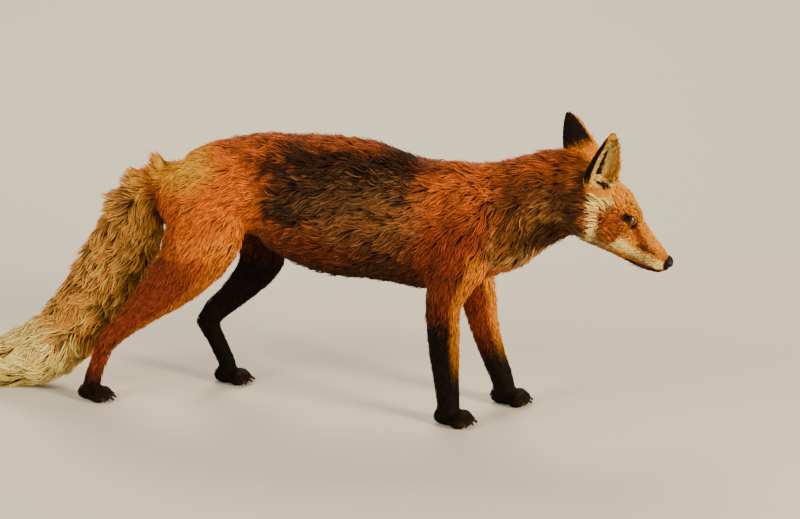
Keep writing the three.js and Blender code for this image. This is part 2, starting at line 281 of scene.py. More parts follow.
@dataclass(frozen=True)
class Guide:
    """How the coat lies near one place: its direction and the sizes of its locks."""

    place: Triple
    flow: Triple
    reach: float
    length: float
    depth: float
    width: float
    gather: float = 0.4

    def on(self, side: int) -> "Guide":
        """The same guide on one side of the body."""
        x, y, z = self.place
        a, b, c = self.flow
        return Guide((x, y * side, z), (a, b * side, c), *self.rest)

    def both(self) -> list["Guide"]:
        """The guide on each side of the body, or once if it is in the middle."""
        return [self.on(side) for side in SIDES] if self.place[1] else [self]

    def within(self, place: Place) -> "Guide":
        """The same guide, given in the body's frame instead of in a place's."""
        return Guide(tuple(place.outside(self.place)), tuple(place.ways(self.flow)), *self.rest)

    @property
    def rest(self) -> tuple[float, ...]:
        """The guide's sizes."""
        return (self.reach, self.length, self.depth, self.width, self.gather)


BODY_GUIDES = (
    # Back, from the withers to the rump.
    Guide((220, 0, 366), (-1, 0, 0.0), 42, 30, 12, 2.1),
    Guide((120, 0, 362), (-1, 0, 0.0), 42, 32, 13, 2.2, 0.5),
    Guide((20, 0, 382), (-1, 0, 0.0), 42, 32, 13, 2.2, 0.5),
    Guide((-80, 0, 380), (-1, 0, -0.05), 42, 28, 11, 2.1, 0.5),
    Guide((-160, 0, 358), (-1, 0, -0.2), 36, 24, 9, 2.0),
    Guide((-222, 0, 325), (-0.9, 0, -0.3), 28, 26, 9, 2.0),
    # Flank, in three rows.
    Guide((150, 66, 330), (-1, 0.05, -0.25), 40, 30, 12, 2.2, 0.5),
    Guide((60, 70, 335), (-1, 0.05, -0.3), 40, 32, 13, 2.3, 0.6),
    Guide((-30, 70, 335), (-1, 0.05, -0.3), 40, 32, 12, 2.3, 0.6),
    Guide((130, 74, 275), (-0.95, 0, -0.45), 38, 28, 11, 2.2, 0.5),
    Guide((50, 77, 282), (-0.95, 0, -0.4), 38, 32, 13, 2.3, 0.6),
    Guide((-30, 74, 285), (-0.95, 0, -0.35), 36, 30, 12, 2.3, 0.6),
    Guide((110, 55, 210), (-0.95, -0.1, -0.4), 36, 26, 10, 2.2, 0.5),
    Guide((30, 55, 212), (-0.95, -0.1, -0.35), 36, 30, 11, 2.2, 0.5),
    Guide((-50, 50, 225), (-0.9, -0.1, -0.3), 36, 28, 10, 2.1, 0.5),
    # Belly.
    Guide((100, 0, 186), (-1, 0, -0.1), 34, 24, 9, 2.1),
    Guide((0, 0, 192), (-1, 0, -0.05), 34, 26, 10, 2.1),
    Guide((-80, 0, 235), (-1, 0, 0.1), 34, 20, 8, 2.1),
    # Shoulder and chest.
    Guide((205, 70, 325), (-0.75, 0.1, -0.65), 36, 26, 10, 2.0),
    Guide((205, 74, 270), (-0.4, 0.0, -0.9), 34, 24, 9, 1.9),
    Guide((190, 70, 225), (-0.15, 0.0, -1), 30, 20, 7, 1.8),
    Guide((246, 30, 225), (-0.3, 0.0, -0.95), 34, 32, 13, 2.3, 0.6),
    Guide((240, 0, 215), (-0.6, 0.0, -0.8), 34, 30, 12, 2.3, 0.6),
    # Haunch and thigh.
    Guide((-110, 62, 335), (-1, 0.05, -0.25), 34, 24, 9, 1.9),
    Guide((-165, 60, 320), (-1, 0.0, -0.25), 32, 24, 8, 1.9),
    Guide((-150, 72, 275), (-0.75, 0.0, -0.65), 34, 22, 8, 1.9),
    Guide((-210, 50, 290), (-0.85, 0.0, -0.55), 30, 24, 9, 1.9),
    Guide((-112, 66, 255), (-0.6, 0.0, -0.8), 32, 20, 7, 1.9),
    Guide((-228, 20, 262), (-0.4, 0.0, -0.9), 30, 24, 9, 2.0),
    # Neck.
    Guide((290, 10, 372), (-0.9, 0, -0.15), 34, 30, 12, 2.2, 0.5),
    Guide((268, 52, 335), (-0.8, 0.05, -0.5), 34, 32, 13, 2.3, 0.55),
    Guide((272, 52, 285), (-0.6, 0.0, -0.8), 34, 34, 14, 2.4, 0.65),
    Guide((310, 55, 315), (-0.7, 0.05, -0.65), 32, 32, 13, 2.4, 0.6),
    Guide((306, 25, 258), (-0.5, 0.0, -0.85), 32, 34, 14, 2.4, 0.65),
)

HEAD_GUIDES = (
    Guide((-22, 0, 6), (-1, 0, 0.1), 14, 4.0, 1.4, 1.0, 0.1),
    Guide((-48, 0, 12), (-1, 0, 0.1), 16, 5.0, 1.7, 1.1, 0.1),
    Guide((-32, 16, -8), (-1, 0.25, -0.15), 14, 4.5, 1.5, 1.0, 0.1),
    Guide((-28, 13, -24), (-1, 0.1, -0.5), 14, 5.5, 1.7, 1.1, 0.15),
    Guide((-34, 0, -36), (-1, 0, -0.1), 16, 7, 2.2, 1.2, 0.2),
    Guide((-60, 22, -4), (-1, 0.3, -0.2), 16, 6, 2.0, 1.1, 0.1),
    Guide((-62, 20, -30), (-1, 0.15, -0.35), 18, 8, 2.8, 1.3, 0.2),
    Guide((-76, 0, 22), (-1, 0, 0.5), 16, 6.5, 2.2, 1.2, 0.1),
    Guide((-88, 18, 26), (-1, 0.25, 0.5), 14, 7, 2.4, 1.2, 0.1),
    Guide((-112, 0, 40), (-1, 0, 0.15), 20, 9, 3.2, 1.3, 0.2),
    Guide((-114, 26, 30), (-1, 0.25, 0.2), 16, 8, 2.8, 1.3, 0.15),
    Guide((-92, 33, -6), (-1, 0.45, -0.3), 16, 8, 2.8, 1.2, 0.15),
    Guide((-120, 42, 4), (-1, 0.3, -0.1), 18, 10, 3.8, 1.4, 0.2),
    Guide((-118, 44, -20), (-0.95, 0.4, -0.45), 20, 13, 5.0, 1.6, 0.3),
    Guide((-92, 28, -36), (-1, 0.25, -0.4), 18, 11, 4.0, 1.5, 0.3),
    Guide((-95, 0, -44), (-1, 0, -0.15), 20, 13, 5.0, 1.6, 0.3),
    Guide((-150, 54, -16), (-0.9, 0.35, -0.45), 20, 22, 8.0, 1.9, 0.4),
    Guide((-140, 40, -42), (-0.85, 0.25, -0.6), 22, 24, 9.0, 2.0, 0.45),
    Guide((-140, 0, -52), (-0.95, 0, -0.3), 24, 24, 9.0, 2.0, 0.4),
    Guide((-150, 0, 42), (-1, 0, 0.0), 22, 12, 4.5, 1.6, 0.2),
    Guide((-146, 40, 24), (-1, 0.15, 0.25), 16, 15, 5.5, 1.6, 0.25),
    Guide((-166, 46, 12), (-0.8, 0.3, 0.5), 14, 20, 7.5, 1.8, 0.35),
    Guide((-178, 50, 10), (-0.95, 0.2, -0.3), 20, 22, 8.0, 1.9, 0.3),
    Guide((-192, 0, 38), (-1, 0, -0.1), 24, 22, 8.0, 1.9, 0.3),
    Guide((-184, 52, -28), (-0.85, 0.25, -0.6), 22, 30, 11.0, 2.2, 0.5),
)

# Down each limb and the brush: the locks' length, the coat's depth, the locks' width and their gathering.
LIMB_COATS = {
    "foreleg": ((18, 6.5, 1.8, 0.25), (8.0, 2.6, 1.3, 0.25)),
    "hindleg": ((20, 7.0, 1.8, 0.25), (8.0, 2.4, 1.3, 0.25)),
}
TAIL_COAT = ((34, 13, 1.9, 0.65), (46, 18, 2.1, 0.8), (52, 18, 2.3, 0.8), (52, 19, 2.4, 0.8),
             (38, 11, 2.2, 0.65))
TOE_GUIDE = Guide((Paw.length * 0.6, 0, 14), (0.9, 0, -0.45), 20, 6.0, 1.6, 1.3, 0.15)


def line_guides(part: Part, coat: tuple, reach: tuple[float, float], hurry: float = 1.0) -> list[Guide]:
    """Guides down a limb or the brush, one to a ring.

    Args: part: the limb; coat: its coat's sizes, from the first ring to the last; reach: what the radius is
        scaled by and what is added; hurry: how soon the sizes pass from the first to the last.
    Returns: the guides.
    """
    rings, columns = np.array(part.rings), np.array(coat).T
    ways = unit(np.gradient(rings[:, :3], axis=0))
    shares = np.linspace(0, 1, len(rings)) ** hurry
    known = np.linspace(0, 1, len(coat))
    return [
        Guide(tuple(ring[:3]), tuple(way), ring[3] * reach[0] + reach[1],
              *(np.interp(share, known, column) for column in columns))
        for share, ring, way in zip(shares, rings, ways)
    ]


def all_guides() -> list[Guide]:
    """Every guide of the coat, in the body's frame."""
    found = [one for guide in BODY_GUIDES for one in guide.both()]
    found += [one.within(HEAD) for guide in HEAD_GUIDES for one in guide.both()]
    for leg in LEGS:
        found += line_guides(leg, LIMB_COATS[leg.name.split("_")[0]], (0.85, 4), 0.7)
    found += line_guides(TAIL, TAIL_COAT, (0.8, 0))
    return found + [TOE_GUIDE.within(paw.place) for paw in PAWS]


class Lie:
    """The coat's direction and sizes anywhere on the body, blended from the guides."""

    BATCH = 60000  # places at a time, to save memory

    def __init__(self, guides: list[Guide]) -> None:
        self.places = np.array([g.place for g in guides], np.float32)
        self.reach = np.array([g.reach for g in guides], np.float32)
        flows = unit(np.array([g.flow for g in guides]))
        self.values = np.concatenate([flows, np.array([g.rest[1:] for g in guides])], 1).astype(np.float32)

    def at(self, points: Array) -> Array:
        """The blend at places.

        Args: points: places in the body's frame.
        Returns: rows of flow x, y, z, then length, depth, width and gather.
        """
        found = np.empty((len(points), self.values.shape[1]), np.float32)
        squares = (self.places**2).sum(1)
        for start in range(0, len(points), self.BATCH):
            part = points[start : start + self.BATCH].astype(np.float32)
            apart = (part**2).sum(1)[:, None] + squares - 2 * part @ self.places.T
            power = -0.5 * apart / self.reach**2
            power -= power.max(1, keepdims=True)
            weights = np.exp(power)
            weights /= weights.sum(1, keepdims=True)
            found[start : start + self.BATCH] = weights @ self.values
        return found


LIE = Lie(all_guides())
LENGTH, DEPTH, WIDTH, GATHER = 3, 4, 5, 6  # the columns of a blend, after the flow's three


# ---- Fields ----


def gains(level: Callable[[Array], Array], points: Array, step: float) -> Array:
    """What a field gains over a step to both sides of places, along each axis."""
    return np.stack([level(points + off) - level(points - off) for off in np.eye(3) * step], 1)


def crosses(points: Array, triangles: Array) -> Array:
    """Each triangle's normal, as long as twice its area."""
    corners = points[triangles]
    return np.cross(corners[:, 1] - corners[:, 0], corners[:, 2] - corners[:, 0])


@dataclass
class Field:
    """A signed distance in mm on a grid: negative inside."""

    values: Array
    low: Array
    voxel: float

    @classmethod
    def of(cls, points: Array, triangles: Array, voxel: float, band: int,
           room: Array | None = None) -> "Field":
        """The distance to a closed mesh.

        Args: points: its places; triangles: its faces; voxel: the grid's step; band: steps on each side;
            room: lowest and highest corner of what is wanted, if not all.
        Returns: the field.
        """
        grid = vdb.FloatGrid.createLevelSetFromPolygons(
            points.astype(np.float32), triangles=triangles.astype(np.uint32),
            transform=vdb.createLinearTransform(voxelSize=voxel), halfWidth=band,
        )
        low, high = grid.evalActiveVoxelBoundingBox()
        if room is not None:
            low, high = (tuple(int(i) for i in np.round(corner / voxel)) for corner in room)
        values = np.empty(tuple(int(h - a + 1) for a, h in zip(low, high)), np.float32)
        grid.copyToArray(values, ijk=low)
        return cls(values, np.array(low), voxel)

    @classmethod
    def empty(cls, corner: Array, size: Array, voxel: float) -> "Field":
        """A field of zeros over a box, given by its lowest corner and its size in mm."""
        low = np.floor(np.array(corner) / voxel)
        return cls(np.zeros(np.ceil(np.array(size) / voxel).astype(int), np.float32), low, voxel)

    def blurred(self, times: int) -> "Field":
        """The field smoothed along each axis, a few times over."""
        values = self.values
        for _ in range(times):
            for axis in range(3):
                wide = np.concatenate([values.take([0], axis), values, values.take([-1], axis)], axis)
                size = values.shape[axis]
                before, same, after = (np.take(wide, range(i, i + size), axis) for i in range(3))
                values = 0.25 * before + 0.5 * same + 0.25 * after
        return Field(values, self.low, self.voxel)

    def evened(self, times: int) -> "Field":
        """The field smoothed a few times over, with what that takes off round forms given back."""
        once = self.blurred(times)
        return Field(2 * once.values - once.blurred(times).values, self.low, self.voxel)

    def places(self) -> Array:
        """The place of every voxel."""
        steps = np.indices(self.values.shape).reshape(3, -1).T
        return (steps + self.low) * self.voxel

    def at(self, points: Array) -> Array:
        """The distance at places, by trilinear blending."""
        spot = points / self.voxel - self.low
        spot = np.clip(spot, 0, np.array(self.values.shape) - 1.001)
        cell = spot.astype(int)
        part = (spot - cell).astype(np.float32)
        total = np.zeros(len(points), np.float32)
        for corner in range(8):
            step = np.array([corner >> 2 & 1, corner >> 1 & 1, corner & 1])
            weight = np.prod(np.where(step, part, 1 - part), 1)
            total += weight * self.values[tuple((cell + step).T)]
        return total

    def slope(self, points: Array, step: float = 0.0) -> Array:
        """The field's gradient at places, which is the outward normal."""
        step = step or self.voxel * 0.7
        return gains(self.at, points, step) / (2 * step)

    def surface(self) -> tuple[Array, Array]:
        """The surface where the field is zero, as places and quads that face outwards."""
        grid = vdb.FloatGrid(10 * self.voxel)
        grid.copyFromArray(np.ascontiguousarray(self.values, np.float32), ijk=tuple(int(i) for i in self.low))
        grid.transform = vdb.createLinearTransform(voxelSize=self.voxel)
        points, _, quads = grid.convertToPolygons(isovalue=0.0, adaptivity=0.0)
        corners = points[quads]
        across = np.cross(corners[:, 2] - corners[:, 0], corners[:, 3] - corners[:, 1])
        if (across * self.slope(corners.mean(1))).sum() < 0:
            quads = quads[:, ::-1]
        return points.astype(float), quads.astype(int)


def node_mesh(names: list[str]) -> tuple[Array, Array]:
    """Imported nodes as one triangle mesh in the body's frame, in mm.

    Args: names: the nodes.
    Returns: places and triangles.
    """
    points, triangles, count = [], [], 0
    for name in names:
        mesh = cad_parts[name].data
        co = np.empty(len(mesh.vertices) * 3, np.float32)
        mesh.vertices.foreach_get("co", co)
        mesh.calc_loop_triangles()
        tri = np.empty(len(mesh.loop_triangles) * 3, np.int32)
        mesh.loop_triangles.foreach_get("vertices", tri)
        points.append(co.reshape(-1, 3) * 1000 - SHIFT)
        triangles.append(tri.reshape(-1, 3) + count)
        count += len(mesh.vertices)
    return np.concatenate(points), np.concatenate(triangles)


def halves(quads: Array) -> Array:
    """Quads split into triangles."""
    return np.concatenate([quads[:, [0, 1, 2]], quads[:, [0, 2, 3]]])


# ---- Meshes ----


def make_object(name: str, points: Array, faces: Array, normals: Array | None = None) -> Object:
    """A mesh object at the origin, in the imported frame.

    Args: name: its name; points: places in mm; faces: corners of its faces; normals: one to a place.
    Returns: the object, linked to the scene.
    """
    mesh = bpy.data.meshes.new(name)
    mesh.vertices.add(len(points))
    mesh.vertices.foreach_set("co", ((points + SHIFT) / 1000).astype(np.float32).ravel())
    size = faces.shape[1]
    mesh.loops.add(faces.size)
    mesh.loops.foreach_set("vertex_index", faces.astype(np.int32).ravel())
    mesh.polygons.add(len(faces))
    mesh.polygons.foreach_set("loop_start", np.arange(0, faces.size, size, dtype=np.int32))
    mesh.polygons.foreach_set("loop_total", np.full(len(faces), size, np.int32))
    mesh.polygons.foreach_set("use_smooth", np.ones(len(faces), bool))
    mesh.update(calc_edges=True)
    mesh.validate()
    if normals is not None:
        mesh.normals_split_custom_set_from_vertices(normals.astype(np.float32))
    made = bpy.data.objects.new(name, mesh)
    bpy.context.scene.collection.objects.link(made)
    return made


def tint(made: Object, colours: Array) -> None:
    """Stores a colour at each place of a mesh."""
    attribute = made.data.color_attributes.new(COLOURS, "FLOAT_COLOR", "POINT")
    rgba = np.ones((len(made.data.vertices), 4), np.float32)
    rgba[:, :3] = colours
    attribute.data.foreach_set("color", rgba.ravel())


# ---- Markings, with painted light and shade ----


class Tone(Enum):
    """The coat's colours: that of the tips, then that of the roots."""

    RUST = ("ba5a1e", "542810")
    ORANGE = ("ea701c", "703410")
    AMBER = ("f2990c", "904a08")
    GOLD = ("ffb034", "965810")
    RED = ("86361a", "3c1a10")
    UMBER = ("3a1c0e", "160c07")
    BROWN = ("4a2a14", "1c100a")
    DARK = ("20130d", "0f0907")
    BLACK = ("130d0a", "080504")
    TAN = ("a06e3e", "382410")
    OLIVE = ("7c5020", "281a0c")
    CREAM = ("ffdf84", "ba9048")
    GREY = ("b4945a", "4c3a22")
    BRUSH = ("e29a48", "1e0f08")

    @property
    def tip(self) -> Array:
        """The colour of the tips."""
        return linear(self.value[0])

    @property
    def root(self) -> Array:
        """The colour of the roots."""
        return linear(self.value[1])


@dataclass(frozen=True)
class Patch:
    """A patch of one tone: an ellipsoid with a ragged edge."""

    tone: Tone
    place: Triple
    radii: Triple
    edge: float = 0.3
    share: float = 1.0
    ragged: float = 0.12
    blotch: float = 22.0

    def cover(self, points: Array, seed: int) -> Array:
        """How far the patch, and its like on the other side, covers places, 0 to 1."""
        rough = self.ragged * waves(points, self.blotch, seed)
        found = np.zeros(len(points))
        for side in SIDES if self.place[1] else (1,):
            centre = np.array(self.place) * (1, side, 1)
            far = np.linalg.norm((points - centre) / np.array(self.radii), axis=1) + rough
            found = np.maximum(found, 1 - ease(far, 1 - self.edge, 1 + self.edge))
        return found * self.share


@dataclass(frozen=True)
class Stripe:
    """A line of one tone along the side of the head, drawn in its own upright plane: x and z."""

    tone: Tone
    line: tuple[tuple[float, float], ...]
    half: float
    edge: float = 1.5
    share: float = 1.0
    ragged: float = 1.2
    blotch: float = 7.0

    def cover(self, at_head: Array, seed: int) -> Array:
        """How far the stripe covers places of the head's frame, 0 to 1."""
        flat = at_head[:, [0, 2]]
        near = np.full(len(flat), 1e9)
        for a, b in zip(np.array(self.line), np.array(self.line[1:])):
            t = np.clip((flat - a) @ (b - a) / ((b - a) @ (b - a)), 0, 1)
            near = np.minimum(near, np.linalg.norm(flat - a - t[:, None] * (b - a), axis=1))
        near = near + self.ragged * waves(at_head, self.blotch, seed)
        return (1 - ease(near, self.half - self.edge, self.half + self.edge)) * self.share


BODY_PATCHES = (
    # The brown flank and the umber belly are partly the coat's own darker colour and partly painted shade on
    # the flank and belly.
    Patch(Tone.BROWN, (40, 0, 256), (160, 112, 84), 0.3, 0.92, 0.3, 16),
    Patch(Tone.UMBER, (30, 0, 202), (190, 90, 82), 0.35, 0.95, 0.25, 20),
    Patch(Tone.RED, (-14, 76, 236), (64, 40, 32), 0.5, 0.45, 0.5, 12),
    Patch(Tone.TAN, (76, 80, 284), (96, 44, 28), 0.5, 0.4, 1.3, 9),
    Patch(Tone.DARK, (22, 0, 338), (124, 112, 62), 0.18, 0.97, 0.2, 26),
    Patch(Tone.DARK, (-46, 84, 298), (44, 50, 28), 0.3, 0.9, 0.2, 20),
    Patch(Tone.TAN, (64, 80, 314), (86, 60, 22), 0.5, 0.34, 1.5, 8),
    # Rust along the top of the back: painted highlight where the top line of the back is lit, over the dark
    # saddle.
    Patch(Tone.RUST, (20, 0, 392), (160, 72, 22), 0.5, 0.9, 0.3, 10),
    Patch(Tone.ORANGE, (-166, 70, 292), (80, 70, 84), 0.2, 0.95, 0.1, 18),
    # Gold on the top of the rump: painted highlight where the rump is lit.
    Patch(Tone.GOLD, (-204, 40, 334), (48, 60, 30), 0.6, 0.9, 0.2, 14),
    Patch(Tone.GOLD, (-150, 80, 232), (70, 30, 14), 0.6, 0.2, 0.4, 12),
    Patch(Tone.BROWN, (-214, 50, 240), (22, 40, 50), 0.5, 0.5, 0.4, 12),
    # Dark under the root of the tail, between the thighs: painted shade.
    Patch(Tone.DARK, (-236, 0, 236), (24, 40, 70), 0.35, 0.95, 0.2, 14),
    Patch(Tone.RUST, (204, 75, 322), (60, 60, 62), 0.4, 0.9, 0.1, 18),
    Patch(Tone.ORANGE, (178, 75, 350), (34, 40, 22), 0.6, 0.6, 0.4, 10),
    Patch(Tone.RED, (192, 75, 246), (60, 50, 60), 0.4, 0.9, 0.2, 16),
    Patch(Tone.UMBER, (176, 75, 196), (44, 50, 34), 0.5, 0.4, 0.4, 12),
    Patch(Tone.TAN, (240, 60, 238), (11, 40, 34), 0.45, 0.85, 0.2, 10),
    Patch(Tone.BROWN, (285, 30, 306), (56, 80, 70), 0.3, 0.88, 0.25, 16),
    Patch(Tone.OLIVE, (286, 50, 262), (50, 60, 40), 0.4, 0.7, 0.6, 10),
    Patch(Tone.TAN, (318, 60, 306), (34, 40, 28), 0.6, 0.7, 1.0, 9),
    Patch(Tone.RUST, (288, 20, 372), (60, 60, 20), 0.5, 0.7, 0.6, 10),
    Patch(Tone.DARK, (312, 40, 262), (44, 60, 24), 0.5, 0.75, 0.4, 12),
    Patch(Tone.GREY, (286, 10, 232), (40, 40, 14), 0.5, 0.6, 0.5, 8),
)

HEAD_PATCHES = (
    Patch(Tone.AMBER, (-112, 0, 10), (84, 62, 54), 0.3, 1.0, 0.1, 14),
    # Gold on the forehead and along the bridge: painted highlight where the top of the head and muzzle is
    # lit.
    Patch(Tone.GOLD, (-100, 0, 36), (70, 26, 20), 0.6, 0.8, 0.3, 8),
    Patch(Tone.GOLD, (-42, 0, 10), (44, 18, 14), 0.6, 0.8, 0.2, 8),
    Patch(Tone.RUST, (-126, 48, -8), (36, 26, 22), 0.6, 0.85, 0.7, 5),
    Patch(Tone.BROWN, (-136, 50, -8), (34, 26, 24), 0.8, 0.62, 2.2, 4),
    # Brown behind the cheek's cream crescent and under the ear: painted shade.
    Patch(Tone.BROWN, (-200, 50, -16), (24, 44, 44), 0.4, 0.7, 0.5, 9),
    Patch(Tone.ORANGE, (-206, 44, 14), (9, 30, 26), 0.5, 0.8, 0.3, 9),
    Patch(Tone.GREY, (-112, 30, -44), (48, 34, 15), 0.4, 0.9, 0.7, 5),
    Patch(Tone.OLIVE, (-124, 0, -58), (60, 34, 16), 0.5, 0.6, 0.4, 8),
    Patch(Tone.CREAM, (-86, 30, -23), (26, 20, 9.5), 0.4, 1.0, 0.3, 6),
    Patch(Tone.CREAM, (-162, 46, 16), (16, 22, 15), 0.5, 1.0, 0.4, 6),
    # Dark under the chin: painted shade.
    Patch(Tone.DARK, (-40, 0, -40), (30, 20, 8), 0.4, 0.85, 0.1, 8),
)
HEAD_STRIPES = (
    # Brown behind the cheek's cream crescent: painted shade.
    Stripe(Tone.BROWN, ((-192, 14), (-187, -14), (-173, -36), (-150, -50)), 8.0, 3.0, 0.9, 2.0),
    Stripe(Tone.CREAM, ((-175, 26), (-171, 6), (-165, -12), (-152, -27), (-131, -41)), 5.2, 2.2, 1.0, 1.2),
    Stripe(Tone.CREAM, ((-16, -11), (-36, -16), (-60, -19), (-84, -24)), 5.5, 2.0, 1.0, 1.4),
    Stripe(Tone.RED, ((-91, 9), (-80, 4), (-66, -1), (-54, -4)), 5.5, 3.5, 0.9, 2.6, 5.0),
    Stripe(Tone.UMBER, ((-64, -8), (-50, -7), (-38, -4)), 3.6, 2.6, 0.9, 3.0, 4.0),
    Stripe(Tone.RED, ((-113, 10), (-124, 7), (-146, 8)), 2.4, 2.0, 0.8, 1.5, 5.0),
    Stripe(Tone.RED, ((-118, 4), (-134, -4), (-150, -8)), 2.4, 2.0, 0.7, 2.0, 5.0),
    Stripe(Tone.UMBER, ((-116, 10), (-104, 13), (-90, 8.5)), 5.4, 2.0, 0.9, 0.6, 5.0),
    Stripe(Tone.BLACK, ((-112, 10.5), (-102, 12.5), (-93, 9)), 4.4, 1.2, 1.0, 0.3, 5.0),
    Stripe(Tone.BLACK, ((-13, -18), (-26, -24), (-46, -30.5), (-60, -34)), 2.2, 0.8, 1.0, 0.3, 5.0),
    # Black on the lower jaw: partly the black lower lip, partly painted shade under the jaw.
    Stripe(Tone.BLACK, ((-16, -24), (-40, -34)), 4.0, 2.0, 0.8, 0.8, 6.0),
    Stripe(Tone.BLACK, ((-2, -3), (-7, -5)), 9.0, 1.2, 1.0, 0.3, 5.0),
)
# Where each leg's black stocking begins and ends along it; on the far hind leg the black covers nearly the
# whole leg and is partly painted shade.
STOCKINGS_AND_SHADE = {"foreleg_right": (0.16, 0.46), "foreleg_left": (0.46, 0.8), "hindleg_right": (0.84, 1.05),
             "hindleg_left": (-0.1, 0.3)}
# Painted highlight along the lit front edge of each leg: how much of it each leg gets.
FRONT_HIGHLIGHT = {"foreleg_right": 0.65, "foreleg_left": 0.9, "hindleg_right": 0.35, "hindleg_left": 0.0}
WHITE_TIP = (0.6, 0.69)


class Paint:
    """The colours of tips and roots at places, laid one over another."""

    def __init__(self, count: int, tone: Tone) -> None:
        self.tips = np.tile(tone.tip, (count, 1))
        self.roots = np.tile(tone.root, (count, 1))

    def lay(self, tone: Tone, cover: Array) -> None:
        """Covers the places with a tone, each by its share from 0 to 1."""
        self.tips = mix(self.tips, tone.tip, cover)
        self.roots = mix(self.roots, tone.root, cover)

    def blend(self, tips: float, roots: float) -> Array:
        """The colour of skin that shows between the locks, from so much of the tips' and the roots'."""
        return self.tips * tips + self.roots * roots


def markings_and_painted_light(points: Array) -> Paint:
    """The colours of the coat at places in the body's frame: its markings, with painted highlight and shade
    laid in among them.
    """
    paint = Paint(len(points), Tone.RUST)
    for i, patch in enumerate(BODY_PATCHES):
        paint.lay(patch.tone, patch.cover(points, SEED + i))
    near = {part.name: part.nearest(points)[:2] for part in PARTS}
    gaps = {name: gap for name, (gap, _) in near.items()}
    rough = waves(points, 14, SEED + 50) * 0.06 + waves(points, 5, SEED + 51) * 0.05
    for leg in LEGS:
        gap, share = near[leg.name]
        hold = (1 - ease(gap - gaps["trunk"], 0, 16)) * (1 - ease(gap, 12, 30))
        front = np.cos(2 * math.pi * (leg.unwrap(points)[:, 0] - 0.5))
        # The share of painted highlight down the lit front of the leg.
        stripe = ease(front + rough, 0.5, 0.9) * (1 - ease(share, 0.5, 0.85)) * FRONT_HIGHLIGHT[leg.name]
        paint.lay(Tone.RED, hold * ease(share, 0.0, 0.3) * 0.9)
        # Black stockings; on the far hind leg this is partly painted shade.
        paint.lay(Tone.BLACK, hold * ease(share + rough, *STOCKINGS_AND_SHADE[leg.name]))
        # Amber painted highlight on the leg's lit front edge.
        paint.lay(Tone.AMBER, hold * stripe * 0.85)
    paint.lay(Tone.BLACK, 0.9 * (1 - ease(points[:, 2], 24, 40)))
    others = np.minimum.reduce([gaps["trunk"]] + [gaps[leg.name] for leg in LEGS])
    on_tail = 1 - ease(gaps["tail"] - others, -4, 8)
    paint.lay(Tone.BRUSH, on_tail)
    paint.lay(Tone.CREAM, on_tail * ease(near["tail"][1] + rough, *WHITE_TIP))
    for i, crest in enumerate(CRESTS):
        paint.lay(crest.tone, crest.hold(points) * (0.85 + 0.3 * waves(points, 7, SEED + 60 + i)).clip(0, 1))
    at_head = HEAD.inside(points)
    on_head = 1 - ease(gaps["head"] - gaps["neck"], -6, 10)
    for i, mark in enumerate(HEAD_PATCHES + HEAD_STRIPES):
        paint.lay(mark.tone, mark.cover(at_head, SEED + 70 + i) * on_head)
    return paint


# ---- Skin ----


@dataclass(frozen=True)
class Dent:
    """A change to the head's form: positive amounts press in, negative ones build up."""

    place: Triple
    radii: Triple
    amount: float


DENTS = (
    Dent((-84, 27, 12), (9, 8, 8), 2.6),
    Dent((-104, 40, -4), (20, 10, 8), -1.8),
    Dent((-103, 24, 27), (17, 9, 6), -1.6),
    Dent((-30, 15, -14), (13, 7, 9), -1.6),
    Dent((-62, 24, 4), (16, 8, 12), 1.8),
    Dent((-46, 0, 14), (26, 6, 5), -1.0),
)


